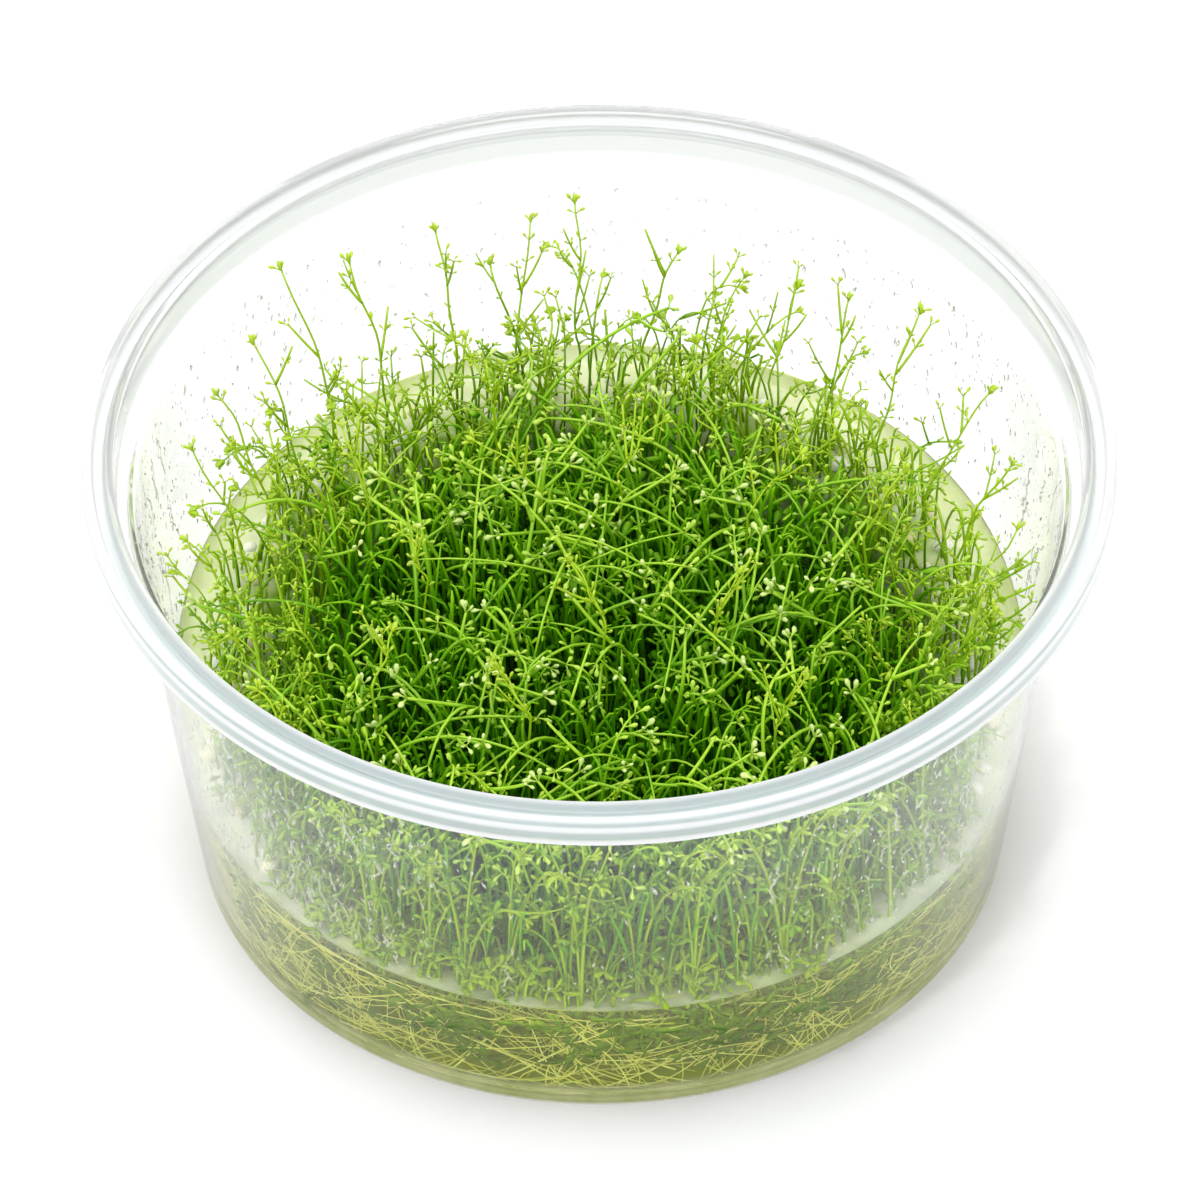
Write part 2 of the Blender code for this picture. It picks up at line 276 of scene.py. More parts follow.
def turf_top(x, y):
    """The height of the turf's solid body in the frame, where the tall shoots stand."""
    fringe = gel_top(y) + FRINGE_HEIGHT
    return fringe + core_share(x, y) * (canopy_top(x, y) - fringe)


def pulled_in(line, height, reach):
    """Points set to a height, and moved towards the cup's axis where they are past reach."""
    radius = np.hypot(line[..., 0], line[..., 1])
    shrink = np.minimum(1.0, reach / np.maximum(radius, 1e-6))
    return stack(line[..., 0] * shrink, line[..., 1] * shrink, height)


def inside_cup(line, margin):
    """Keeps plants off the wall."""
    height = line[..., 2]
    return pulled_in(line, height, inner_radius(height) - margin)


def inside_gel(line, margin, top_margin):
    """Moves points that would leave the gel back inside it."""
    height = np.maximum(line[..., 2], FLOOR_TOP + margin)
    height = np.minimum(height, gel_top(line[..., 1]) - top_margin)
    return pulled_in(line, height, inner_radius(height) - margin)


def room_ahead(x, y, heading, limit):
    """How far a stem may lean towards heading before it is limit from the cup's axis."""
    ahead = x * np.cos(heading) + y * np.sin(heading)
    return np.sqrt(np.maximum(ahead**2 + limit**2 - x**2 - y**2, 0.0)) - ahead


def level_across(line):
    """A level direction square to each line's whole run."""
    run = line[:, -1] - line[:, 0]
    across = stack(-run[:, 1], run[:, 0], 0.0)
    short = np.linalg.norm(across, axis=1) < 1e-3
    across[short] = (1.0, 0.0, 0.0)
    return unit(across)


def any_turn(draws, size):
    return draws.uniform(0.0, TURN, size)


def tapered(draws, thick, count, foot, tip, stations):
    """A radius for each station of each stem: drawn from the range thick, times foot to tip."""
    return draws.uniform(*thick, (count, 1)) * np.linspace(foot, tip, stations)


def mostly_up(draws, count, lean):
    """Upward directions, each leaning a little its own way."""
    return unit(stack(draws.normal(0, lean, count), draws.normal(0, lean, count), 1.0))


def bezier(start, rise, bend, end, stations):
    """Curves through their four guide points, each a set of points."""
    t = np.linspace(0.0, 1.0, stations)[None, :, None]
    start, rise, bend, end = (guide[:, None, :] for guide in (start, rise, bend, end))
    return (
        (1 - t) ** 3 * start + 3 * (1 - t) ** 2 * t * rise + 3 * (1 - t) * t**2 * bend + t**3 * end
    )


def along_line(line, shares):
    """Places and directions at shares of the way along each line."""
    at = np.clip(shares, 0.0, 0.9999) * (line.shape[1] - 1)
    low = at.astype(int)
    rows = np.arange(len(line))[:, None]
    first, second = line[rows, low], line[rows, low + 1]
    return first + (at - low)[..., None] * (second - first), unit(second - first)


# Meshes

class Batch:
    """Many small closed shapes, gathered into one mesh.

    Each point carries three numbers that its material reads: a tone for the plant that it is
    on, how young it is, and what it is part of.
    """

    def __init__(self):
        self.points = []
        self.faces = {}
        self.looks = []
        self.count = 0

    def add(self, points, faces, looks):
        for block in faces:
            self.faces.setdefault(block.shape[1], []).append(block + self.count)
        self.points.append(points)
        self.looks.append(looks)
        self.count += len(points)

    def make(self, name, surface, slot, *nodes):
        """The gathered shapes as one piece of the object, in place of nodes."""
        mesh = bpy.data.meshes.new(name)
        points = np.concatenate(self.points) * MM
        mesh.vertices.add(len(points))
        mesh.vertices.foreach_set("co", points.astype(np.float32).ravel())
        corners, totals = [], []
        for size in sorted(self.faces):
            block = np.concatenate(self.faces[size])
            corners.append(block.ravel())
            totals.append(np.full(len(block), size))
        corners, totals = np.concatenate(corners), np.concatenate(totals)
        mesh.loops.add(len(corners))
        mesh.polygons.add(len(totals))
        mesh.loops.foreach_set("vertex_index", corners.astype(np.int32))
        starts = np.concatenate(([0], np.cumsum(totals)[:-1]))
        mesh.polygons.foreach_set("loop_start", starts.astype(np.int32))
        mesh.polygons.foreach_set("use_smooth", np.ones(len(totals), bool))
        looks = np.concatenate(self.looks).astype(np.float32)
        store = mesh.attributes.new("look", "FLOAT_VECTOR", "POINT")
        store.data.foreach_set("vector", looks.ravel())
        mesh.update(calc_edges=True)
        mesh.validate()
        mesh.materials.append(surface)
        piece = bpy.data.objects.new(name, mesh)
        scene.collection.objects.link(piece)
        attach(piece, "root")
        if nodes:
            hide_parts(*nodes)


def ring_walls(index):
    """Quads between neighbouring rings, from the numbers of the rings' points."""
    after = np.roll(index, -1, axis=-1)
    walls = (index[..., :-1, :], after[..., :-1, :], after[..., 1:, :], index[..., 1:, :])
    return np.stack(walls, axis=-1).reshape(-1, 4)


def closed_faces(rings):
    """Walls between whole rings round the cup's axis, and fans to the two points after them."""
    index = np.arange(rings * ROUND_STEPS).reshape(rings, ROUND_STEPS)
    after = np.roll(index, -1, axis=1)
    centre = np.full(ROUND_STEPS, index.size)
    foot = np.stack((centre, after[0], index[0]), axis=-1)
    head = np.stack((centre + 1, index[-1], after[-1]), axis=-1)
    return [ring_walls(index), foot, head]


def tubes(batch, line, radius, across, sides, looks, flat=1.0):
    """Closed tubes. line is tubes x stations x 3; across is a direction square to each bend."""
    along = unit(np.gradient(line, axis=1))
    level = across[:, None, :]
    level = unit(level - (level * along).sum(-1, keepdims=True) * along)
    up = np.cross(along, level)
    turns = np.arange(sides) * TURN / sides
    ring = (
        np.cos(turns)[:, None] * level[:, :, None, :]
        + flat * np.sin(turns)[:, None] * up[:, :, None, :]
    )
    points = line[:, :, None, :] + radius[:, :, None, None] * ring
    index = np.arange(points.size // 3).reshape(points.shape[:3])
    faces = [ring_walls(index), index[:, 0, ::-1], index[:, -1]]
    looks = np.broadcast_to(looks[:, :, None, :], points.shape)
    batch.add(points.reshape(-1, 3), faces, looks.reshape(-1, 3))


def leaf_form(stations, sides):
    """A closed leaf of length 1 along x. stations are its x, half width and half thickness."""
    turns = np.arange(sides) * TURN / sides
    rows = [
        stack(x, width * np.cos(turns), thick * np.sin(turns)) for x, width, thick in stations
    ]
    points = np.concatenate([*rows, [[1.0, 0.0, 0.0]]])
    index = np.arange(len(rows) * sides).reshape(len(rows), sides)
    last = index[-1]
    tip = np.stack((last, np.roll(last, -1), np.full(sides, len(points) - 1)), axis=-1)
    return points, [ring_walls(index), tip, index[:1, ::-1]]


SPOON_LEAF = leaf_form(
    ((0.0, 0.05, 0.05), (0.42, 0.07, 0.06), (0.74, 0.24, 0.15), (0.95, 0.15, 0.09)), 5
)
SMALL_LEAF = leaf_form(((0.0, 0.05, 0.05), (0.64, 0.22, 0.13), (0.93, 0.18, 0.1)), 4)
BLADE_LEAF = leaf_form(((0.0, 0.05, 0.05), (0.45, 0.14, 0.06), (0.8, 0.17, 0.06)), 4)
BUD_FORM = leaf_form(
    ((0.0, 0.1, 0.1), (0.25, 0.3, 0.3), (0.55, 0.38, 0.38), (0.85, 0.24, 0.24)), 6
)


def leaves(batch, form, foot, out, upward, length, looks, wide, curl=0.0):
    """One leaf for each foot, pointing out, with its upper side turned to upward."""
    shape, faces = form
    side = unit(np.cross(upward, out))
    face = np.cross(out, side)
    x = shape[:, 0] * length[:, None]
    y = shape[:, 1] * length[:, None] * wide
    z = shape[:, 2] * length[:, None] + np.asarray(curl).reshape(-1, 1) * shape[:, 0] ** 2
    points = (
        foot[:, None, :]
        + x[..., None] * out[:, None, :]
        + y[..., None] * side[:, None, :]
        + z[..., None] * face[:, None, :]
    )
    steps = (np.arange(len(foot)) * len(shape))[:, None, None]
    faces = [(steps + block).reshape(-1, block.shape[1]) for block in faces]
    looks = np.broadcast_to(looks[:, None, :], points.shape).copy()
    # Youth rises towards each leaf's tip, where the skin paints a pale glint.
    looks[..., 1] = np.clip(looks[..., 1] + 0.25 * shape[:, 0], 0.0, 1.0)
    batch.add(points.reshape(-1, 3), faces, looks.reshape(-1, 3))


# Materials

class Nodes:
    """A short way to write the nodes of a material or a world."""

    def __init__(self, owner, kind="Material"):
        owner.use_nodes = True
        self.owner = owner
        self.tree = owner.node_tree
        self.tree.nodes.clear()
        self.out = self.tree.nodes.new("ShaderNodeOutput" + kind)
        places = self.tree.nodes.new("ShaderNodeTexCoord").outputs
        self.where = places["Generated" if kind == "World" else "Object"]

    def put(self, socket, value):
        if isinstance(value, bpy.types.NodeSocket):
            self.tree.links.new(value, socket)
        else:
            socket.default_value = value

    def add(self, kind, output=0, settings=None, **inputs):
        node = self.tree.nodes.new("ShaderNode" + kind)
        for name, value in (settings or {}).items():
            setattr(node, name, value)
        for name, value in inputs.items():
            numbered = name[0] == "i" and name[1:].isdigit()
            key = int(name[1:]) if numbered else name.replace("_", " ")
            self.put(node.inputs[key], value)
        return node.outputs[output]

    def math(self, operation, *values):
        inputs = {f"i{place}": value for place, value in enumerate(values)}
        return self.add("Math", settings={"operation": operation}, **inputs)

    def times(self, first, second):
        return self.math("MULTIPLY", first, second)

    def mix(self, share, *colors):
        """Two colours, each its red, green and blue or a socket, mixed by share."""
        first, second = (
            color if isinstance(color, bpy.types.NodeSocket) else (*color, 1.0) for color in colors
        )
        settings = {"data_type": "RGBA"}
        return self.add("Mix", output=2, settings=settings, i0=share, i6=first, i7=second)

    def span(self, value, low, high, new_low, new_high):
        """value's range low to high, turned into the new range."""
        return self.add("MapRange", i0=value, i1=low, i2=high, i3=new_low, i4=new_high)

    def band(self, place, low, high, new_low, new_high):
        """span for a place in metres, with low and high in millimetres."""
        return self.span(place, low * MM, high * MM, new_low, new_high)

    def speckle(self, scale, detail=2.0, rough=0.5):
        return self.add("TexNoise", Vector=self.where, Scale=scale, Detail=detail, Roughness=rough)

    def bump(self, height, strength, distance):
        return self.add("Bump", Height=height, Strength=strength, Distance=distance)

    def parts(self, vector):
        """A vector's x, y and z."""
        split = self.tree.nodes.new("ShaderNodeSeparateXYZ")
        self.put(split.inputs[0], vector)
        return split.outputs

    def look(self):
        """The three numbers that each point of a batch carries."""
        store = self.tree.nodes.new("ShaderNodeAttribute")
        store.attribute_name = "look"
        return self.parts(store.outputs["Vector"])

    def ramp(self, value, *stops):
        made = self.tree.nodes.new("ShaderNodeValToRGB")
        elements = made.color_ramp.elements
        while len(elements) < len(stops):
            elements.new(0.5)
        for element, (place, color) in zip(elements, stops):
            element.position = place
            element.color = (*color, 1.0)
        self.put(made.inputs[0], value)
        return made.outputs[0]

    def lets_light_through(self, shader):
        """The shader, but clear to the rays that carry light to what is behind it."""
        path = self.tree.nodes.new("ShaderNodeLightPath")
        clear = self.add("BsdfTransparent")
        share = self.math("MAXIMUM", path.outputs["Is Shadow Ray"], path.outputs["Is Diffuse Ray"])
        return self.add("MixShader", i0=share, i1=shader, i2=clear)

    def finish(self, shader, volume=None):
        self.put(self.out.inputs["Surface"], shader)
        if volume is not None:
            self.put(self.out.inputs["Volume"], volume)
        return self.owner


def new_surface(name):
    return Nodes(bpy.data.materials.new(name))


def foliage_surface(name, colors, heights, shine, rough):
    """Plant skin: dark and saturated low down, partly its own colour and partly painted shade deep
    in the turf; yellow green and paler where it is young; painted light on faces that look up, and
    painted glints at the leaves' tips.
    """
    deep, middle, top, young = colors
    n = new_surface(name)
    height = n.parts(n.where)[2]
    tone, youth, part = n.look()
    raised = n.band(height, *heights, 0.0, 1.0)
    raised = n.math("ADD", raised, n.span(tone, 0.0, 1.0, -0.15, 0.4))
    # The ramp up from the deep colour is partly the plant's own colour and partly painted shade low in
    # the turf.
    color = n.ramp(raised, (0.02, deep), (0.52, middle), (1.0, top))
    fresh = n.times(youth, n.span(raised, 0.3, 1.0, 0.1, 1.0))
    fresh = n.times(fresh, n.span(part, 0.0, 1.0, 0.35, 0.95))
    color = n.mix(fresh, color, young)
    mottle = n.speckle(1400.0, 1.0)
    color = n.mix(n.span(mottle, 0.35, 0.75, 0.0, 0.3), color, middle)
    # Painted light: faces that look up, high in the turf, go a paler yellow green.
    skyward = n.parts(n.add("NewGeometry", output=1))[2]
    painted_top_light = n.times(n.span(skyward, 0.3, 1.0, 0.0, 1.0), n.span(raised, 0.45, 1.0, 0.0, 0.6))
    color = n.mix(painted_top_light, color, (0.56, 0.8, 0.08))
    # Painted glints: where youth is highest, at the leaves' tips, the skin goes pale.
    color = n.mix(n.span(youth, 0.8, 1.0, 0.0, 0.6), color, (0.84, 0.93, 0.5))
    dull = n.span(mottle, 0.3, 0.7, rough, rough + 0.1)
    shader = n.add(
        "BsdfPrincipled",
        Base_Color=color,
        Roughness=n.math("SUBTRACT", dull, n.times(part, 0.12)),
        Normal=n.bump(mottle, 0.25, 0.00008),
        Specular_IOR_Level=shine,
    )
    return n.finish(shader)


def root_surface():
    """Cream skin, greener in patches."""
    n = new_surface("root_skin")
    tone = n.look()[0]
    shades = (0.0, (0.8, 0.77, 0.34)), (0.35, (0.97, 0.93, 0.64)), (0.7, (1.0, 0.98, 0.88))
    patch = n.speckle(500.0, 3.0)
    color = n.mix(n.span(patch, 0.55, 0.8, 0.0, 0.3), n.ramp(tone, *shades), (0.5, 0.56, 0.2))
    shader = n.add(
        "BsdfPrincipled",
        Base_Color=color,
        Roughness=n.span(patch, 0.3, 0.7, 0.35, 0.55),
        Normal=n.bump(patch, 0.4, 0.0001),
    )
    return n.finish(shader)


def rim_painted_shade(n, x, y, z):
    """Painted shade and reflection: grey and light rings where the steps and beads of the rim turn."""
    light, grey = (0.96, 0.965, 0.97), (0.56, 0.65, 0.65)
    skirt = n.ramp(
        n.band(z, SKIRT_BOTTOM, RIM_TOP, 0.0, 1.0),
        (0.0, grey), (0.06, light), (0.2, light), (0.3, grey), (0.5, grey), (0.62, light),
        (0.76, light), (0.84, grey), (0.92, grey), (1.0, light),
    )
    radius = n.math("SQRT", n.math("ADD", n.times(x, x), n.times(y, y)))
    top = n.ramp(
        n.band(radius, 46.5, 50.2, 0.0, 1.0),
        (0.1, light), (0.3, light), (0.42, grey), (0.66, grey), (0.78, light),
    )
    ring = n.mix(n.band(radius, 50.0, 50.3, 0.0, 1.0), top, skirt)
    # Towards the back the rings fade into an even pale grey, so the painted shade is strongest at the
    # front.
    return n.mix(n.band(y, -36.0, 0.0, 1.0, 0.25), (0.95, 0.955, 0.965), ring)


def wall_tint(n, x, y, z, above):
    """Nearly no colour, but greener by the gel, and low down at the front greener still: painted
    green light from the plants, in the condensation haze.
    """
    # Painted green light from the plants behind, in the haze low down at the front.
    painted_plant_light = n.times(
        n.band(y, -38.0, -22.0, 1.0, 0.0), n.band(n.math("ABSOLUTE", x), 21.0, 39.0, 1.0, 0.0)
    )
    painted_plant_light = n.times(painted_plant_light, n.band(above, 0.0, 3.0, 0.0, n.band(z, 28.0, 34.0, 1.0, 0.0)))
    wall = n.mix(painted_plant_light, (0.99, 0.99, 0.995), (0.95, 0.98, 0.74))
    return n.mix(n.band(above, -1.0, 0.0, 1.0, 0.0), wall, (0.965, 0.975, 0.8))


def cup_surface():
    """Clear plastic, with a faint haze of condensation above the gel."""
    n = new_surface("clear_plastic")
    x, y, z = n.parts(n.where)
    line = n.math("TANH", n.times(y, 1.0 / (GEL_RUN * MM)))
    line = n.math("MULTIPLY_ADD", line, GEL_CLIMB * MM, GEL_MIDDLE * MM)
    above = n.math("SUBTRACT", z, line)
    patch = n.span(n.speckle(60.0, 2.0, 0.6), 0.3, 0.7, 0.6, 1.4)
    fog = n.times(n.times(n.band(above, 0.0, 5.0, 0.0, 1.0), patch), HAZE)
    # Low down the plastic is hazy, and below half a millimetre it stays white: a painted pale highlight
    # along the base's edge. Above that it is olive.
    foot = n.band(z, 1.5, 3.7, 0.55, 0.0)
    lip = n.band(z, 45.2, 46.4, 0.0, 1.0)
    ends = n.math("MAXIMUM", foot, n.times(lip, n.band(y, -20.0, 20.0, 0.5, 0.3)))
    clear = n.math("SUBTRACT", 1.0, n.math("MAXIMUM", fog, ends))
    streak = n.span(n.speckle(240.0, 2.0, 0.7), 0.35, 0.7, 0.0, 1.0)
    olive = n.mix(streak, (0.46, 0.52, 0.17), (0.68, 0.7, 0.34))
    base = n.band(z, 0.5, 0.9, 0.0, n.band(z, 2.6, 4.2, 1.0, 0.0))
    # The rim carries painted shade and reflection, and the wall low at the front painted green light.
    color = n.mix(lip, wall_tint(n, x, y, z, above), rim_painted_shade(n, x, y, z))
    shader = n.add(
        "BsdfPrincipled",
        Base_Color=n.mix(base, color, olive),
        Roughness=n.span(n.speckle(900.0, 1.0), 0.3, 0.7, 0.015, 0.04),
        IOR=PLASTIC_BEND,
        Transmission_Weight=clear,
        Specular_Tint=(0.15, 0.15, 0.15, 1.0),
    )
    soak = n.add("VolumeAbsorption", **PLASTIC_SOAK)
    return n.finish(n.lets_light_through(shader), soak)


def gel_surface():
    """Clear culture gel with a faint green tint, and a paler skin that the turf shades."""
    n = new_surface("culture_gel")
    skin, shade = n.look()[:2]
    patch = n.speckle(160.0, 2.0, 0.6)
    shaded = n.span(shade, 0.0, 0.5, 0.0, 1.0)
    cloud_and_painted_shade = n.times(n.span(skin, 0.0, 1.0, 0.11, 0.92), n.span(patch, 0.3, 0.7, 0.8, 1.2))
    # Under the turf the skin becomes an opaque sheet of painted shade.
    cloud_and_painted_shade = n.math("MAXIMUM", cloud_and_painted_shade, n.span(shade, 0.0, 0.5, 0.0, 0.95))
    # The bare skin is paler towards the front: painted light on the strip behind the front wall.
    backward = n.band(n.parts(n.where)[1], -20.0, 5.0, 0.0, 1.0)
    bare = n.mix(backward, (0.97, 0.99, 0.84), (0.86, 0.91, 0.56))
    bare = n.mix(n.span(n.speckle(260.0), 0.45, 0.65, 0.0, 0.6), bare, (0.76, 0.82, 0.4))
    color = n.mix(skin, (0.72, 0.82, 0.1), bare)
    # Painted shade: green patches where the turf's outer ring shades the skin, and dark green under its
    # core.
    spots = n.span(n.speckle(330.0, 1.0), 0.45, 0.6, 1.0, 0.3)
    color = n.mix(n.times(shaded, spots), color, (0.26, 0.46, 0.03))
    color = n.mix(n.span(shade, 0.5, 1.0, 0.0, 1.0), color, (0.02, 0.075, 0.004))
    shader = n.add(
        "BsdfPrincipled",
        Base_Color=color,
        Roughness=n.span(patch, 0.3, 0.7, 0.02, 0.07),
        IOR=GEL_BEND,
        Normal=n.bump(n.speckle(420.0, 1.0), 0.3, 0.0004),
        Transmission_Weight=n.math("SUBTRACT", 1.0, cloud_and_painted_shade),
        Coat_Weight=n.times(n.math("SUBTRACT", skin, shade), 0.8),
    )
    soak = n.add("VolumeAbsorption", **GEL_SOAK)
    return n.finish(n.lets_light_through(shader), soak)


def drop_surface():
    """Water with a faint ripple, and a white share that paints highlights on the drops."""
    n = new_surface("condensation")
    ripple = n.speckle(900.0, 1.0)
    shader = n.add(
        "BsdfPrincipled",
        Base_Color=(1.0, 1.0, 0.95, 1.0),
        Roughness=n.span(ripple, 0.3, 0.7, 0.0, 0.02),
        IOR=WATER_BEND,
        Normal=n.bump(ripple, 0.1, 0.0001),
        # A fifth of each drop is white and diffuse: painted highlights.
        Transmission_Weight=0.8,
    )
    return n.finish(n.lets_light_through(shader))


def floor_surface():
    n = new_surface("floor")
    tint = n.span(n.speckle(2.0, 2.0), 0.3, 0.7, 0.0, 1.0)
    color = n.mix(tint, (0.98, 0.98, 0.98), (0.985, 0.985, 0.99))
    return n.finish(n.add("BsdfPrincipled", Base_Color=color, Roughness=0.9))


# Camera, light and floor

def make_camera():
    data = bpy.data.cameras.new("camera")
    data.sensor_width = CAMERA_SENSOR
    data.lens = CAMERA_LENS
    data.clip_start = 0.1
    data.clip_end = 20.0
    camera = bpy.data.objects.new("camera", data)
    tilt = math.radians(CAMERA_ELEVATION)
    away = Vector((0.0, -math.cos(tilt), math.sin(tilt)))
    camera.location = (away * CAMERA_DISTANCE + Vector((0.0, 0.0, CAMERA_AIM))) * MM
    camera.rotation_euler = (-away).to_track_quat("-Z", "Y").to_euler()
    camera.rotation_euler.rotate_axis("Z", math.radians(-CAMERA_ROLL))
    scene.collection.objects.link(camera)
    scene.camera = camera


def make_lights():
    for name, place, size, power in LIGHTS:
        data = bpy.data.lights.new(name, "AREA")
        data.shape = "DISK"
        data.size = size
        data.energy = power
        lamp = bpy.data.objects.new(name, data)
        lamp.location = place
        aim = Vector(LIGHT_AIM) - Vector(place)
        lamp.rotation_euler = aim.to_track_quat("-Z", "Y").to_euler()
        scene.collection.objects.link(lamp)


def make_world():
    """Even white studio light, with a greyer band round the horizon that glass edges pick up."""
    world = bpy.data.worlds.new("studio")
    scene.world = world
    n = Nodes(world, "World")
    upward = n.parts(n.where)[2]
    stops = [(place, (level, level, level * 1.006)) for place, level in WORLD_LEVELS]
    n.finish(n.add("Background", Color=n.ramp(upward, *stops), Strength=1.0))


def make_floor():
    mesh = bpy.data.meshes.new("floor")
    corners = [(x * FLOOR_REACH, y * FLOOR_REACH, 0.0) for x, y in ((-1, -1), (1, -1), (1, 1), (-1, 1))]
    mesh.from_pydata(corners, [], [(0, 1, 2, 3)])
    mesh.materials.append(floor_surface())
    floor = bpy.data.objects.new("floor", mesh)
    floor.location.z = -FLOOR_DROP
    scene.collection.objects.link(floor)


def set_light_paths():
    paths = getattr(scene, "cycles", None)
    if paths is not None:
        for name, value in LIGHT_PATHS.items():
            setattr(paths, name, value)


# The cup

def rounded(corners):
    """A profile with its corners rounded. Each corner is a radius, a height and a rounding."""
    places = [np.array(corner[:2]) for corner in corners]
    line = [places[0]]
    for before, here, after, corner in zip(places, places[1:], places[2:], corners[1:]):
        back, on = before - here, after - here
        reach = min(corner[2], 0.42 * np.linalg.norm(back), 0.42 * np.linalg.norm(on))
        first = here + back / np.linalg.norm(back) * reach
        last = here + on / np.linalg.norm(on) * reach
        for step in range(BEND_STEPS + 1):
            t = step / BEND_STEPS
            line.append((1 - t) ** 2 * first + 2 * t * (1 - t) * here + t * t * last)
    line.append(places[-1])
    return line


def firmed(line, long=1.0, inset=0.12):
    """The profile with a point near each end of its long runs, which keeps them shaded flat."""
    firm = [line[0]]
    for start, end in zip(line, line[1:]):
        length = np.linalg.norm(end - start)
        if length > long:
            firm += [start + (end - start) * inset / length, end - (end - start) * inset / length]
        firm.append(end)
    return firm


def make_cup():
    """The turned cup, from the middle of its floor up the inside and down the outside."""
    skirt_inner = RIM_RADIUS - WALL
    seat_top = SEAT_RADIUS + SEAT_FLARE
    groove = RIM_TOP - BEAD_BEND
    underside = RIM_TOP - RIM_THICKNESS
    wall_end = LEDGE_HEIGHT - FLOOR_BEND
    foot_inner = BASE_RADIUS - FOOT_WIDTH
    corners = [
        (0.0, FLOOR_TOP, 0.0),
        (FLOOR_FLAT, FLOOR_TOP, 0.0),
        (inner_radius(FLOOR_TOP), FLOOR_TOP, 1.6),
        (inner_radius(LEDGE_HEIGHT), LEDGE_HEIGHT, 0.4),
        (SEAT_RADIUS - BEAD_BEND, LEDGE_HEIGHT + LEDGE_RISE, 0.35),
        (SEAT_RADIUS, LEDGE_HEIGHT + 2.0 * LEDGE_RISE, 0.35),
        (seat_top, RIM_TOP, 0.45),
        (seat_top + 1.5 * BEAD_BEND, RIM_TOP, 0.4),
        (seat_top + 2.0 * BEAD_BEND, groove, 0.25),
        (RIM_RADIUS - BEAD_WIDTH, groove, 0.25),
        (RIM_RADIUS - 2.0 * BEAD_BEND, RIM_TOP, 0.3),
        (RIM_RADIUS, RIM_TOP, 0.5),
        (RIM_RADIUS, SKIRT_BOTTOM, 0.25),
        (skirt_inner, SKIRT_BOTTOM, 0.25),
        (skirt_inner, underside, 0.35),
        (seat_top + WALL, underside, 0.5),
        (SEAT_RADIUS + WALL, LEDGE_HEIGHT + LEDGE_RISE, 0.5),
        (SEAT_RADIUS, LEDGE_HEIGHT - LEDGE_RISE, 0.5),
        (BASE_RADIUS + WALL_SLOPE * wall_end, wall_end, 0.6),
        (BASE_RADIUS, 0.0, 1.1),
        (foot_inner, 0.0, 0.3),
        (foot_inner - FOOT_HEIGHT, FOOT_HEIGHT, 0.4),
        (FLOOR_FLAT, FOOT_HEIGHT, 0.0),
        (0.0, FOOT_HEIGHT, 0.0),
    ]
    profile = firmed(rounded(corners))
    turns = np.arange(ROUND_STEPS) * TURN / ROUND_STEPS
    rings = [stack(*around(radius, turns), height) for radius, height in profile if radius > 1e-6]
    points = np.concatenate((*rings, [[0.0, 0.0, FLOOR_TOP], [0.0, 0.0, FOOT_HEIGHT]]))
    faces = [np.hstack((block[:, :1], block[:, :0:-1])) for block in closed_faces(len(rings))]
    batch = Batch()
    batch.add(points, faces, np.zeros_like(points))
    batch.make("cup_body", cup_surface(), "cup_plastic", "cup")


# The gel, and what is in it and on it

def make_gel():
    """The clear gel, with its skin climbing the wall a little all round."""
    floor = FLOOR_TOP + GEL_GAP
    turns = np.arange(ROUND_STEPS) * TURN / ROUND_STEPS
    rings, skins = [], []

    def ring(radius, height, skin):
        rings.append(stack(*around(radius, turns), height))
        skins.append(np.full(ROUND_STEPS, skin))

    bend, bend_end, climb, climb_run = 1.5, 3.2, 1.5, 0.75
    centre = inner_radius(floor) - GEL_GAP - 0.55 * bend
    for radius in (0.5 * FLOOR_FLAT, FLOOR_FLAT, centre - 0.6):
        ring(radius, floor, 0.0)
    for angle in np.radians((-80.0, -55.0, -30.0, -5.0)):
        lift = floor + 0.9 * bend * (1.0 + math.sin(angle)) * 0.6
        ring(centre - 0.1 + 0.5 * bend * math.cos(angle), lift, 0.0)
    line = gel_top(inner_radius(GEL_MIDDLE) * np.sin(turns))
    for share in (0.15, 0.4, 0.65, 0.85, 0.97, 1.0):
        height = bend_end + share * (line + climb - bend_end)
        ring(inner_radius(height) - GEL_GAP, height, 0.0)
    for inward in (0.06, 0.25, 0.6, 1.1, 1.8, 2.7, 4.0):
        height = line + climb * math.exp(-inward / climb_run)
        ring(inner_radius(height) - GEL_GAP - inward, height - 0.02, 1.0)
    for radius in (34.0, 31.0, 27.0, 23.0, 19.0, 14.0, 9.0, 4.0):
        x, y = around(radius, turns)
        ripple = [0.25 * noise(Vector((a * 0.3, b * 0.3, 3.0))) for a, b in zip(x, y)]
        ring(radius, gel_top(y) + ripple, 1.0)
    points = np.concatenate((*rings, [[0.0, 0.0, floor], [0.0, 0.0, gel_top(0.0)]]))
    skin = np.concatenate((*skins, [0.0, 1.0]))
    x, y = points[:, 0], points[:, 1]
    radius = np.hypot(x, y)
    # The second number of each point's look is painted shade: strong under the turf's core and its
    # inner ring, about half under its outer ring, none on the bare strip by the wall.
    covered = 1.0 - smooth(radius, 35.0, 37.6)
    inner = np.maximum(0.8 * (1.0 - smooth(radius, 31.5, 35.5)), core_share(x, y))
    batch = Batch()
    looks = stack(skin, skin * covered * (0.5 + 0.5 * inner), 0.0)
    batch.add(points, closed_faces(len(rings)), looks)
    batch.make("gel", gel_surface(), "culture_gel", "gel_lower", "gel_upper")


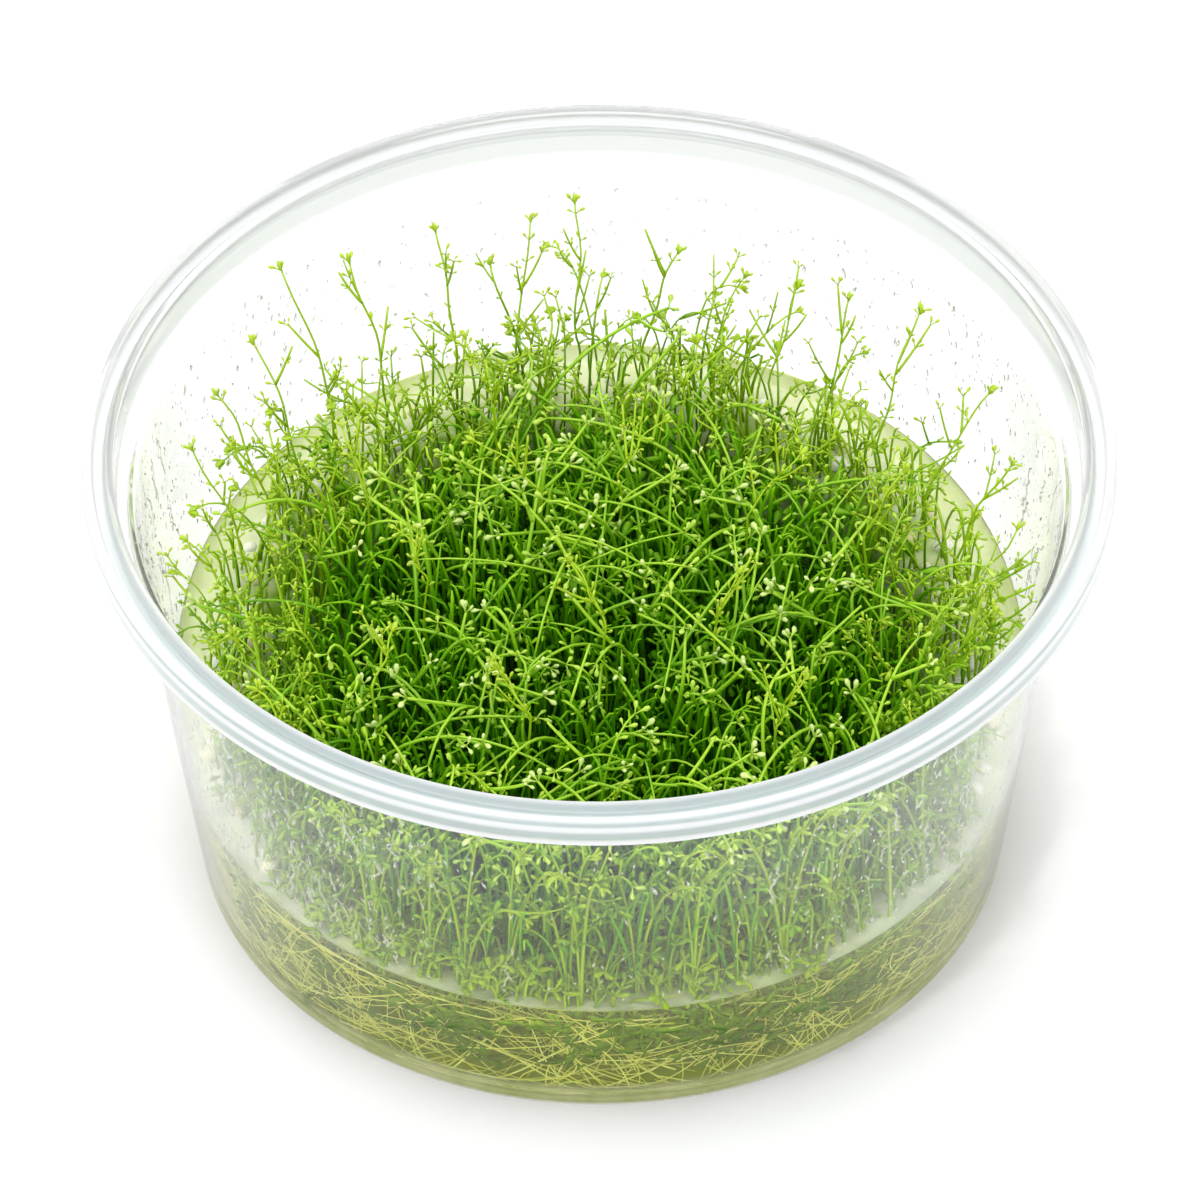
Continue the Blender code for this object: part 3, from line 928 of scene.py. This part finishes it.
def wander(draws, start, heading, slope, length, stations, bend, sway):
    """Lines that set out level or sloping from start and turn slowly as they go."""
    count = len(start)
    turning = draws.normal(0.0, bend, (count, 1)) + np.cumsum(
        draws.normal(0.0, sway, (count, stations - 1)), axis=1
    )
    way = heading[:, None] + np.cumsum(turning, axis=1) * 0.5
    dipping = np.cumsum(draws.normal(0.0, sway * 0.9, (count, stations - 1)), axis=1)
    dip = slope[:, None] + np.cumsum(dipping, axis=1) * 0.5
    step = (length / (stations - 1))[:, None, None]
    moves = stack(np.cos(way) * np.cos(dip), np.sin(way) * np.cos(dip), np.sin(dip)) * step
    start = start[:, None, :]
    return np.concatenate((start, start + np.cumsum(moves, axis=1)), axis=1)


def make_roots():
    """Pale roots: some wander through the gel, some follow the wall, some fan out from knots."""
    draws = np.random.default_rng(21)
    batch = Batch()

    def thicken(line, thick, sides=3):
        count, stations = line.shape[:2]
        line = inside_gel(line, 0.3, 0.4)
        thin = draws.uniform(0.6, 1.35, (count, 1)) * thick
        taper = np.linspace(1.0, 0.55, stations)
        looks = np.repeat(draws.random((count, 1, 3)), stations, axis=1)
        tubes(batch, line, thin * taper, level_across(line), sides, looks)

    # Each group is a count, shares of the gel's area, heights, slopes, lengths and a thickness.
    # Here and in the groups below, a pair is a range to draw from.
    for count, reach, heights, slopes, lengths, thick in (
        (180, (0.3, 1.0), (1.9, 6.0), (-0.15, 0.15), (14.0, 38.0), 0.08),
        (420, (0.4, 1.0), (4.0, 14.5), (-0.35, 0.3), (10.0, 30.0), 0.08),
        (170, (0.9, 1.0), (1.9, 12.0), (-0.5, 0.4), (12.0, 36.0), 0.1),
        (26, (0.8, 1.0), (1.9, 6.0), (-0.08, 0.1), (30.0, 60.0), 0.13),
    ):
        radius = ROOT_REACH * np.sqrt(draws.uniform(*reach, count))
        turns = any_turn(draws, count)
        start = stack(*around(radius, turns), draws.uniform(*heights, count))
        heading = turns + TURN / 4 + draws.normal(0.0, 1.1, count)
        heading += (draws.random(count) < 0.5) * TURN / 2
        slope = draws.uniform(*slopes, count)
        length = draws.uniform(*lengths, count)
        thicken(wander(draws, start, heading, slope, length, 14, 0.13, 0.045), thick)

    count = 230
    turns = any_turn(draws, count)[:, None]
    way = np.where(draws.random(count) < 0.5, 1.0, -1.0)[:, None]
    t = np.linspace(0.0, 1.0, 18)
    turns = turns + way * draws.uniform(0.15, 0.6, (count, 1)) * t
    wave = any_turn(draws, (count, 1)) + draws.uniform(0.2, 0.75, (count, 1)) * TURN * t
    share = 0.47 + 0.47 * np.sin(wave) + 0.05 * np.sin(2.3 * wave + 1.0)
    bottom = FLOOR_TOP + 0.5
    height = bottom + share * (gel_top(39.0 * np.sin(turns)) - 0.6 - bottom)
    depth = 0.35 + 2.4 * draws.random((count, 1)) * (0.5 + 0.5 * np.sin(0.7 * wave + 1.0))
    thicken(stack(*around(inner_radius(height) - depth, turns), height), 0.1, 4)

    knots, front_knots, spread = 50, 14, 6
    turns = any_turn(draws, knots - front_knots)
    turns = np.append(turns, draws.uniform(math.pi + 0.3, TURN - 0.3, front_knots)).repeat(spread)
    x, y = around(draws.uniform(35.0, 39.6, knots).repeat(spread), turns)
    start = stack(x, y, gel_top(y) - draws.uniform(0.2, 1.4, knots).repeat(spread))
    count = knots * spread
    heading = any_turn(draws, count)
    slope = draws.uniform(-1.3, -0.2, count)
    length = draws.uniform(6.0, 22.0, count)
    thicken(wander(draws, start, heading, slope, length, 12, 0.2, 0.08), 0.09)
    batch.make("root_threads", root_surface(), "roots", "root_mat")


def make_sunken(surface):
    """Dark stems and leaves that hang in the gel under its surface, and runners that creep in it."""
    draws = np.random.default_rng(34)
    batch = Batch()
    clumps, stations = 22, 9
    # Each group is a count, shares of the gel's area, depths, slopes, lengths, stem and leaf sizes.
    for count, reach, depth, slopes, lengths, thick, sizes in (
        (40, (0.5, 1.0), (-0.4, 1.0), (-1.4, -0.3), (3.5, 9.5), (0.2, 0.34), (1.7, 3.2)),
        (210, (0.97, 1.0), (0.2, 1.6), (-1.5, -0.2), (3.0, 9.5), (0.16, 0.28), (1.4, 2.8)),
        (34, (0.97, 1.0), (2.0, 9.0), (-0.35, 0.35), (9.0, 24.0), (0.2, 0.3), (1.3, 2.4)),
    ):
        radius = SUNKEN_REACH * np.sqrt(draws.uniform(*reach, count))
        turns = any_turn(draws, count)
        clump = np.arange(clumps) * TURN / clumps + draws.uniform(-0.12, 0.12, clumps)
        turns = np.where(draws.random(count) < 0.85, clump[draws.integers(0, clumps, count)], turns)
        turns += draws.normal(0.0, 0.05, count)
        x, y = around(radius, turns)
        start = stack(x, y, np.maximum(gel_top(y) - draws.uniform(*depth, count), 3.0))
        heading = turns + TURN / 4 + draws.normal(0.0, 1.0, count)
        slope = draws.uniform(*slopes, count)
        length = draws.uniform(*lengths, count)
        line = wander(draws, start, heading, slope, length, stations, 0.12, 0.14)
        line = inside_gel(line, 0.35, 0.25)
        tone = draws.random(count)
        thin = tapered(draws, thick, count, 1.0, 0.6, stations)
        tubes(batch, line, thin, level_across(line), 4, stem_looks(tone, np.zeros(stations)))
        for share in (0.3, 0.55, 0.8, 1.0):
            place, along = along_line(line, np.full((count, 1), share))
            place, along = place[:, 0], along[:, 0]
            spin = any_turn(draws, count)
            for turn in (0.0, TURN / 3, TURN / 1.5):
                level = draws.uniform(-0.3, 0.3, count)
                out = unit(0.4 * along + stack(*around(1.0, spin + turn), level))
                upward = mostly_up(draws, count, 0.5)
                foot = inside_gel(place, 0.45, 0.4)
                tip = foot + out * draws.uniform(*sizes, count)[:, None]
                run = inside_gel(tip, 0.35, 0.2) - foot
                size = np.linalg.norm(run, axis=1)
                leaves(batch, SMALL_LEAF, foot, unit(run), upward, size, stack(tone, 0.0, 0.0), 1.3)
    batch.make("sunken_leaves", surface, "foliage")


def make_carpet(surface):
    """Low dark leaves that cover the gel under the turf's core."""
    draws = np.random.default_rng(61)
    batch = Batch()
    x, y = scatter(draws, CARPET_TRIES, CARPET_REACH, 0.04)
    count = len(x)
    foot = stack(x, y, gel_top(y) + draws.uniform(0.0, 7.0, count))
    turns = any_turn(draws, count)
    out = unit(stack(*around(1.0, turns), draws.uniform(-0.2, 0.9, count)))
    upward = mostly_up(draws, count, 0.4)
    looks = stack(tone_at(x, y, draws), 0.0, 0.0)
    size = draws.uniform(1.3, 2.4, count)
    run = inside_cup(foot + out * size[:, None], 0.5) - foot
    leaves(batch, SMALL_LEAF, foot, unit(run), upward, size, looks, 1.2)
    batch.make("low_leaves", surface, "foliage", "turf")


def make_beads():
    """Small pale lumps that lie on the gel's surface round the turf."""
    draws = np.random.default_rng(55)
    batch = Batch()
    count = 200
    radius = BEAD_REACH * np.sqrt(draws.uniform(0.8, 1.0, count))
    x, y = around(radius, any_turn(draws, count))
    keep = y > -12.0 + draws.normal(0.0, 6.0, count)
    x, y, count = x[keep], y[keep], int(keep.sum())
    size = draws.uniform(0.9, 2.4, count)
    out = stack(*around(1.0, any_turn(draws, count)), 0.0)
    foot = stack(x, y, gel_top(y) + 0.02) - out * size[:, None] * 0.5
    upward = np.tile((0.0, 0.0, 1.0), (count, 1))
    leaves(batch, BUD_FORM, foot, out, upward, size, draws.random((count, 3)) * (1, 0, 0), 1.3)
    batch.make("surface_beads", root_surface(), "roots")


# Condensation

def on_wall(turns, height):
    """Points close to the cup's inner wall."""
    return stack(*around(inner_radius(height) - 0.02, turns), height)


def make_drops():
    """Drops and short runs of water on the inside of the wall, few of them in front and behind."""
    draws = np.random.default_rng(89)
    batch = Batch()
    # Each group is a count, widths, stretches, a flatness, how far it is thinned out in front and
    # behind, whether it gathers at the front's two sides, and its stations.
    for count, sizes, stretch, flat, thinned, gathered, stations in (
        (2000, (0.05, 0.11), (1.0, 2.2), 0.5, 0.65, False, 4),
        (900, (0.09, 0.16), (1.2, 2.8), 0.6, 0.75, False, 5),
        (200, (0.15, 0.22), (1.2, 2.4), 0.6, 0.97, False, 5),
        (760, (0.05, 0.15), (1.0, 3.0), 0.7, 0.0, True, 5),
    ):
        turns = any_turn(draws, count)
        keep = draws.random(count) > thinned * np.sin(turns) ** 2
        corner = draws.normal(0.72, 0.25, count)
        corner = np.where(draws.random(count) < 0.5, math.pi + corner, -corner)
        turns = (corner if gathered else turns)[keep]
        count = len(turns)
        line = gel_top(WET_RADIUS * np.sin(turns))
        height = line + 2.0 + (DROP_TOP - line - 2.0) * draws.uniform(0.0, 1.0, count) ** 0.9
        size = draws.uniform(*sizes, count)
        long = size * draws.uniform(*stretch, count) * (1.0 + 0.9 * (turns > math.pi))
        t = np.linspace(-1.0, 1.0, stations)
        drift = draws.normal(0.0, 0.3, (count, 1)) * long[:, None] / WET_RADIUS
        path = on_wall(turns[:, None] + drift * t, height[:, None] - long[:, None] * t)
        swell = np.sqrt(np.clip(1.0 - (0.97 * t) ** 2, 0.0, 1.0)) * (1.0 + 0.25 * t)
        across = stack(-np.sin(turns), np.cos(turns), 0.0)
        tubes(batch, path, size[:, None] * swell, across, stations, np.zeros(path.shape), flat)

    count, stations = 170, 12
    turns = draws.uniform(math.pi - 0.3, TURN + 0.3, count)
    turns = turns[draws.random(count) > 0.99 * np.sin(turns) ** 2]
    count = len(turns)
    line = gel_top(WET_RADIUS * np.sin(turns))
    length = draws.uniform(1.6, 6.0, count)
    head = np.minimum(line + 3.0 + length + draws.uniform(0.0, 18.0, count), RUN_TOP)
    rows = head[:, None] - length[:, None] * np.linspace(0.0, 1.0, stations)
    sway = np.cumsum(draws.normal(0.0, 0.006, (count, stations)), axis=1)
    path = on_wall(turns[:, None] + sway, rows)
    size = draws.uniform(0.07, 0.14, (count, 1)) * (0.6 + 0.8 * draws.random((count, stations)))
    size[:, 0] *= 0.3
    size[:, -2] *= 1.5
    size[:, -1] *= 0.5
    across = stack(-np.sin(turns), np.cos(turns), 0.0)
    tubes(batch, path, size, across, 5, np.zeros(path.shape), 0.6)
    batch.make("drops", drop_surface(), "culture_gel")


# Plants

def scatter(draws, count, reach, sparse):
    """Places in a circle, dense in the turf's core and thinned to sparse round it."""
    steps = np.arange(count) + 0.5
    x, y = around(reach * np.sqrt(steps / count), steps * GOLDEN_TURN)
    x = x + draws.normal(0.0, 0.35, count)
    y = y + draws.normal(0.0, 0.35, count)
    keep = draws.random(count) < sparse + (1.0 - sparse) * core_share(x, y)
    keep &= np.hypot(x, y) < reach
    return x[keep], y[keep]


def tone_at(x, y, draws):
    """A tone for each plant: lighter round the outside, where more light comes in."""
    return 0.4 * draws.random(len(x)) + 0.6 * smooth(np.hypot(x, y), 24.0, 38.0)


def stem_looks(tone, youth):
    """The three numbers for each station of each stem."""
    return stack(tone[:, None], youth, 0.0)


def stem_lines(draws, foot, heading, reach, rise, droop, stations, wobble, margin):
    """Stems that rise straight and then lean over towards heading, within the cup."""
    count = len(heading)
    way = stack(*around(1.0, heading), 0.0)
    start = stack(*foot)
    up = stack(0.0, 0.0, rise)
    tip = start + way * reach[:, None] + up * (1.0 - droop)[:, None]
    guide = start + up * 0.5 + way * (0.02 * reach)[:, None]
    bend = start + up * 1.02 + way * (0.42 * reach)[:, None]
    line = bezier(start, guide, bend, tip, stations)
    across = stack(-np.sin(heading), np.cos(heading), 0.0)
    t = np.linspace(0.0, 1.0, stations)[None, :]
    wave = draws.uniform(0.8, 2.0, (count, 1)) * TURN / 2 * t + any_turn(draws, (count, 1))
    swing = draws.normal(0.0, wobble, (count, 1)) * np.sin(wave) * t
    return inside_cup(line + swing[..., None] * across[:, None, :], margin), across


def whorls(batch, line, shares, tone, draws, form, each, lengths, youth, lift, wide, skip=0.0):
    """Sets whorls of leaves on each stem at shares of its length, and skips some whorls.

    lengths is the range that leaf lengths are drawn from. youth is one number, or one per whorl.
    """
    shares = np.broadcast_to(shares, (len(line), np.shape(shares)[-1]))
    place, along = (part.reshape(-1, 3).repeat(each, axis=0) for part in along_line(line, shares))
    total, count = shares.size, len(place)
    spin = np.repeat(any_turn(draws, total), each)
    spin += np.tile(np.arange(each) * TURN / each, total)
    spin += draws.normal(0.0, 0.25, count)
    helper = np.where(np.abs(along[:, 2:3]) < 0.9, (0.0, 0.0, 1.0), (1.0, 0.0, 0.0))
    side = unit(np.cross(along, helper))
    sideways = np.cos(spin)[:, None] * side + np.sin(spin)[:, None] * np.cross(along, side)
    raised = draws.uniform(lift - 0.25, lift + 0.25, count)[:, None]
    out = unit(raised * along + sideways + (0.0, 0.0, 0.25))
    upward = mostly_up(draws, count, 0.35)
    length = draws.uniform(*lengths, count)
    youth = np.broadcast_to(youth, shares.shape).reshape(-1).repeat(each)
    looks = stack(np.repeat(tone, shares.shape[1] * each), youth, 1.0)
    keep = np.repeat(draws.random(total) >= skip, each)
    curl = draws.uniform(-0.35, 0.25, count) * length
    kept = (part[keep] for part in (place, out, upward, length, looks))
    leaves(batch, form, *kept, wide, curl[keep])


def grow_twigs(batch, foot, out, tone, draws, lengths, lifts, margin, thick, youth):
    """Short bent twigs that set out from foot, given back as lines.

    lengths, lifts and thick are ranges to draw from. youth runs from a twig's foot to its tip.
    """
    count, stations = len(foot), 6
    run = out * draws.uniform(*lengths, count)[:, None]
    lift = stack(0.0, 0.0, draws.uniform(*lifts, count))
    line = bezier(foot, foot + run * 0.35, foot + run * 0.7 + lift * 0.4, foot + run + lift, stations)
    line = inside_cup(line, margin)
    thin = tapered(draws, thick, count, 1.1, 0.8, stations)
    looks = stem_looks(tone, np.linspace(*youth, stations))
    tubes(batch, line, thin, level_across(line), 5, looks)
    return line


def grow_shoots(batch, line, draws, tones, thick, nodes, leaf, branches):
    """Stems, leaf pairs, end buds and side twigs. tones, thick and leaf are ranges to draw from."""
    count, stations = line.shape[:2]
    tone = draws.uniform(*tones, count)
    thin = tapered(draws, thick, count, 1.15, 0.75, stations)
    looks = stem_looks(tone, np.linspace(0.1, 0.6, stations))
    tubes(batch, line, thin, level_across(line), 5, looks)
    shares = np.linspace(0.5, 0.96, nodes) + draws.normal(0.0, 0.015, (count, nodes))
    whorls(
        batch, line, shares, tone, draws, SPOON_LEAF, each=2, lengths=leaf,
        youth=np.linspace(0.35, 0.6, nodes), lift=0.6, wide=0.65, skip=0.25,
    )
    whorls(
        batch, line, (1.0,), tone, draws, SPOON_LEAF, each=3, lengths=leaf, youth=0.6, lift=1.1,
        wide=0.65,
    )
    place, along = (part[:, 0] for part in along_line(line, np.full((count, 1), 1.0)))
    upward = np.tile((0.3, -1.0, 0.2), (count, 1))
    size = draws.uniform(0.9, 1.3, count)
    leaves(batch, BUD_FORM, place - 0.1 * along, along, upward, size, stack(tone, 0.6, 0.0), 0.5)
    forks = along_line(line, draws.uniform(0.55, 0.9, (count, branches)))
    place, along = (part.reshape(-1, 3) for part in forks)
    away = any_turn(draws, len(place))
    out = unit(1.2 * along + stack(*around(1.0, away), 0.1))
    tone = np.repeat(tone, branches)
    twig = grow_twigs(
        batch, place, out, tone, draws, lengths=(2.0, 5.5), lifts=(0.3, 2.0), margin=0.5,
        thick=(0.1, 0.15), youth=(0.3, 0.6),
    )
    whorls(
        batch, twig, (0.55, 1.0), tone, draws, SPOON_LEAF, each=3, lengths=(0.7, 1.2),
        youth=(0.5, 0.6), lift=1.0, wide=0.65, skip=0.3,
    )


def grow_fine_stems(batch, line, across, tone, draws, thick, youth, leaf_youth, **leafing):
    """Thin stems with small leaves. thick is a range to draw from, youth runs from foot to tip."""
    stations = line.shape[1]
    thin = tapered(draws, thick, len(line), 1.1, 0.7, stations)
    tubes(batch, line, thin, across, 4, stem_looks(tone, np.linspace(*youth, stations)))
    whorls(batch, line, tone=tone, draws=draws, form=SMALL_LEAF, youth=leaf_youth, **leafing)


def make_sward(surface):
    """The crowd of stems that fills the turf, and the narrow leaves on them."""
    draws = np.random.default_rng(3)
    x, y = scatter(draws, SWARD_TRIES, SWARD_REACH, 0.0)
    count = len(x)
    foot = gel_top(y) - 1.5
    rise = (canopy_top(x, y) - foot) * draws.uniform(0.55, 0.97, count)
    heading = np.arctan2(y, x) + draws.normal(0.0, 1.5, count)
    reach = np.abs(draws.normal(0.0, 2.4, count)) + 0.5
    droop = draws.uniform(0.0, 0.12, count)
    line, across = stem_lines(draws, (x, y, foot), heading, reach, rise, droop, 7, 1.3, 0.5)
    taper = (1.05, 1.0, 0.95, 0.9, 0.84, 0.74, 0.35)
    thick = draws.uniform(0.15, 0.25, (count, 1)) * taper
    tone = tone_at(x, y, draws)
    stems = Batch()
    tubes(stems, line, thick, across, 4, stem_looks(tone, np.linspace(0.0, 0.25, 7)))
    stems.make("turf_stems", surface, "foliage", "turf")
    shares = draws.normal(0.0, 0.04, (count, 4)) + (0.5, 0.68, 0.84, 0.99)
    blades = Batch()
    whorls(
        blades, line, shares, tone, draws, BLADE_LEAF, each=2, lengths=(0.9, 1.8),
        youth=(0.1, 0.2, 0.3, 0.45), lift=0.7, wide=0.9, skip=0.94,
    )
    blades.make("turf_blades", surface, "foliage", "turf")


def make_arches(surface):
    """The upper stems, which arch over the turf, with their side sprigs and round leaves."""
    draws = np.random.default_rng(5)
    stations, nodes = 14, 3
    x, y = scatter(draws, ARCH_TRIES, ARCH_REACH, 0.05)
    count = len(x)
    top = canopy_top(x, y)
    foot = np.maximum(top - draws.uniform(12.0, 18.0, count), gel_top(y) + 0.5)
    rise = top + draws.uniform(-2.0, 4.6, count) - foot
    heading = np.arctan2(y, x) + draws.normal(0.0, 1.7, count)
    reach = np.minimum(draws.uniform(3.0, 22.0, count), room_ahead(x, y, heading, 37.5))
    droop = draws.uniform(-0.02, 0.5, count) * np.minimum(1.0, reach / 10.0)
    line, across = stem_lines(draws, (x, y, foot), heading, reach, rise, droop, stations, 1.6, 0.6)
    thick = tapered(draws, (0.13, 0.24), count, 1.15, 0.65, stations)
    tone = tone_at(x, y, draws)
    stems = Batch()
    tubes(stems, line, thick, across, 5, stem_looks(tone, np.linspace(0.1, 0.75, stations) ** 1.5))
    stems.make("arching_stems", surface, "foliage", "turf")
    shares = np.linspace(0.52, 0.86, nodes) + draws.normal(0.0, 0.03, (count, nodes))
    tips = Batch()
    whorls(
        tips, line, shares, tone, draws, SPOON_LEAF, each=2, lengths=(0.8, 1.5),
        youth=np.linspace(0.3, 0.5, nodes), lift=0.7, wide=0.85, skip=0.5,
    )
    whorls(
        tips, line, (1.0,), tone, draws, SPOON_LEAF, each=3, lengths=(0.9, 1.7), youth=0.6,
        lift=1.0, wide=0.85, skip=0.1,
    )
    tips.make("arching_leaves", surface, "foliage", "turf")
    forked = draws.random(count) < 0.45
    shares = draws.uniform(0.45, 0.9, (int(forked.sum()), 1))
    place, along = (part[:, 0] for part in along_line(line[forked], shares))
    away = any_turn(draws, len(place))
    out = unit(0.7 * along + stack(*around(1.0, away), draws.uniform(-0.1, 0.7, len(place))))
    sprigs = Batch()
    twig = grow_twigs(
        sprigs, place, out, tone[forked], draws, lengths=(2.5, 7.0), lifts=(-0.5, 1.2), margin=0.6,
        thick=(0.15, 0.22), youth=(0.35, 0.65),
    )
    whorls(
        sprigs, twig, (1.0,), tone[forked], draws, SPOON_LEAF, each=3, lengths=(0.9, 1.7),
        youth=0.75, lift=1.1, wide=0.9, skip=0.15,
    )
    sprigs.make("arching_sprigs", surface, "foliage", "turf")


def shoot_lines(stations):
    """The lines of the tall shoots in the frame, carried down to the gel."""
    x, y = SHOOTS[:, 0], SHOOTS[:, 1]
    tip = SHOOTS[:, 2:5]
    root = turf_top(x, y) - SOCKET_DEPTH
    foot = stack(x, y, gel_top(y) - 1.0)
    collar = stack(x, y, root + STRAIGHT)
    control = collar + 0.35 * (tip - collar)
    control[:, 2] = collar[:, 2] + 0.6 * (tip[:, 2] - collar[:, 2])
    foot, collar, control, tip = (part[:, None, :] for part in (foot, collar, control, tip))
    lower = stations // 2
    t = np.linspace(0.0, 1.0, lower, endpoint=False)[None, :, None]
    stalk = foot + t * (collar - foot)
    t = np.linspace(0.0, 1.0, stations - lower)[None, :, None]
    crown = (1 - t) ** 2 * collar + 2 * t * (1 - t) * control + t**2 * tip
    return np.concatenate((stalk, crown), axis=1)


def make_shoots(surface):
    """The tall shoots, each of them with a light sway in its stem."""
    draws = np.random.default_rng(8)
    batch = Batch()
    stations = 22
    line = shoot_lines(stations)
    each = (len(line), 1, 3)
    t = np.linspace(0.0, 1.0, stations)[None, :, None]
    wave = any_turn(draws, each) + t * draws.uniform(1.5, 3.5, each) * TURN
    line += draws.uniform(0.12, 0.32, each) * np.sin(wave) * smooth(t, 0.0, 0.6) * (1.0, 1.0, 0.0)
    line = inside_cup(line, 0.5)
    grow_shoots(batch, line, draws, (0.5, 1.0), (0.11, 0.155), nodes=5, leaf=(0.8, 1.4), branches=3)
    batch.make("tall_shoots", surface, "foliage", *SHOOT_NODES)


def make_edge_stems(surface):
    """Single finer stems round the back and the sides, seen against the cup's wall."""
    draws = np.random.default_rng(13)
    batch = Batch()
    count, behind_count, stations = 118, 88, 12
    turns = draws.uniform(-0.35, math.pi + 0.35, behind_count)
    turns = np.append(turns, any_turn(draws, count - behind_count))
    x, y = around(draws.uniform(26.0, 37.6, count), turns)
    foot = gel_top(y) - 1.0
    behind = smooth(y, -15.0, 25.0)
    top = draws.uniform(28.0, 35.0, count) + behind * draws.uniform(0.0, 8.5, count)
    heading = turns + draws.normal(0.0, 0.9, count)
    reach = np.minimum(draws.uniform(0.5, 9.0, count), room_ahead(x, y, heading, 41.0))
    droop = draws.uniform(0.0, 0.15, count)
    line = stem_lines(draws, (x, y, foot), heading, reach, top - foot, droop, stations, 1.1, 0.6)[0]
    grow_shoots(batch, line, draws, (0.3, 1.0), (0.095, 0.14), nodes=4, leaf=(0.7, 1.2), branches=1)
    batch.make("edge_stems", surface, "foliage", "turf")


def make_fringe(surface):
    """The low, thin stems round the turf's core, with the gel showing between them."""
    draws = np.random.default_rng(29)
    batch = Batch()
    radius = FRINGE_REACH * np.sqrt(draws.uniform(0.3, 1.0, FRINGE_TRIES))
    x, y = around(radius, any_turn(draws, FRINGE_TRIES))
    outside = draws.random(FRINGE_TRIES) < 1.0 - core_share(x, y)
    x, y, stations = x[outside], y[outside], 8
    count = len(x)
    foot = gel_top(y) - 1.0
    heading = any_turn(draws, count)
    rise = draws.uniform(5.0, 12.0, count) + 4.0 * core_share(x, y) * draws.random(count)
    reach = np.minimum(draws.uniform(0.5, 7.0, count), room_ahead(x, y, heading, 39.0))
    droop = draws.uniform(-0.02, 0.3, count)
    line, across = stem_lines(draws, (x, y, foot), heading, reach, rise, droop, stations, 1.1, 0.5)
    tone = draws.uniform(0.2, 1.0, count)
    grow_fine_stems(
        batch, line, across, tone, draws, thick=(0.11, 0.18), youth=(0.1, 0.6),
        shares=(0.6, 0.82, 1.0), each=2, lengths=(0.6, 1.2), leaf_youth=(0.4, 0.5, 0.6), lift=0.7,
        wide=0.8, skip=0.5,
    )
    batch.make("fringe_stems", surface, "foliage", "turf")


def make_front_stems(surface):
    """Bright stems close to the front of the wall, two or three from each foot on the gel."""
    draws = np.random.default_rng(77)
    batch = Batch()
    feet, each, stations = 17, 3, 14
    turns = FRONT + np.linspace(-0.95, 0.95, feet) + draws.normal(0.0, 0.03, feet)
    radius = draws.uniform(36.8, 39.2, feet)
    turns, radius = np.repeat(turns, each), np.repeat(radius, each)
    lean = np.tile((-1.0, 1.0, 0.3), feet) * draws.uniform(1.5, 7.0, feet * each)
    keep = draws.random(feet * each) < 0.75
    turns, radius, lean = turns[keep], radius[keep], lean[keep]
    count = len(turns)
    x, y = around(radius, turns)
    foot = gel_top(y) - 3.0
    heading = np.where(lean > 0.0, turns + TURN / 4, turns - TURN / 4)
    rise = draws.uniform(14.0, 24.0, count)
    droop = draws.uniform(-0.02, 0.2, count)
    line = stem_lines(draws, (x, y, foot), heading, np.abs(lean), rise, droop, stations, 0.9, 0.7)[0]
    grow_shoots(batch, line, draws, (0.0, 1.0), (0.13, 0.19), nodes=4, leaf=(0.9, 1.5), branches=1)
    batch.make("front_stems", surface, "foliage", "turf")


def make_front_tangle(surface):
    """The tangle of fine stems and small leaves close behind the front of the wall."""
    draws = np.random.default_rng(83)
    batch = Batch()
    low, high, clumps, stations = 340, 360, 13, 8
    count = low + high
    is_low = np.arange(count) < low

    def either(low_range, high_range):
        """A draw for each stem, from one range for the low ones and another for the high ones."""
        return np.where(is_low, draws.uniform(*low_range, count), draws.uniform(*high_range, count))

    spread = draws.uniform(-1.2, 1.2, count)
    clump = draws.uniform(-1.2, 1.2, clumps)
    gathered = is_low & (draws.random(count) < 0.5)
    in_clump = clump[draws.integers(0, clumps, count)] + draws.normal(0.0, 0.05, count)
    turns = FRONT + np.where(gathered, in_clump, spread)
    radius = either((34.5, 38.3), (32.0, 38.2))
    radius = np.where(gathered, draws.uniform(37.0, 39.6, count), radius)
    x, y = around(radius, turns)
    foot = gel_top(y) - 1.0 + np.where(is_low, 2.5, 15.0) * draws.random(count) ** 1.3
    heading = any_turn(draws, count)
    rise = either((0.5, 3.5), (1.5, 8.0))
    reach = either((0.5, 2.0), (0.5, 5.0))
    heading = np.where(is_low, turns + TURN / 2 + draws.normal(0.0, 1.0, count), heading)
    droop = draws.uniform(0.0, 0.4, count)
    line, across = stem_lines(draws, (x, y, foot), heading, reach, rise, droop, stations, 0.9, 0.6)
    tone = draws.random(count)
    grow_fine_stems(
        batch, line, across, tone, draws, thick=(0.11, 0.2), youth=(0.0, 0.3),
        shares=(0.5, 0.8, 1.0), each=3, lengths=(0.8, 1.6), leaf_youth=(0.2, 0.3, 0.4), lift=0.8,
        wide=1.1, skip=0.45,
    )
    batch.make("front_tangle", surface, "foliage", "turf")


make_camera()
make_world()
make_floor()
make_lights()
scene.view_settings.view_transform = "Standard"
set_light_paths()

skins = {name: foliage_surface(name, *look) for name, look in SKINS.items()}
make_cup()
make_gel()
make_roots()
make_sunken(skins["sunken_leaf"])
make_carpet(skins["carpet_leaf"])
make_beads()
make_drops()
make_sward(skins["turf_stem"])
make_arches(skins["turf_leaf"])
make_shoots(skins["shoot_leaf"])
make_edge_stems(skins["shoot_leaf"])
make_fringe(skins["fringe_leaf"])
make_front_stems(skins["front_leaf"])
make_front_tangle(skins["tangle_leaf"])

for name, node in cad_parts.items():
    if not node.hide_render:
        raise SystemExit(f"{name} is still a plain solid")
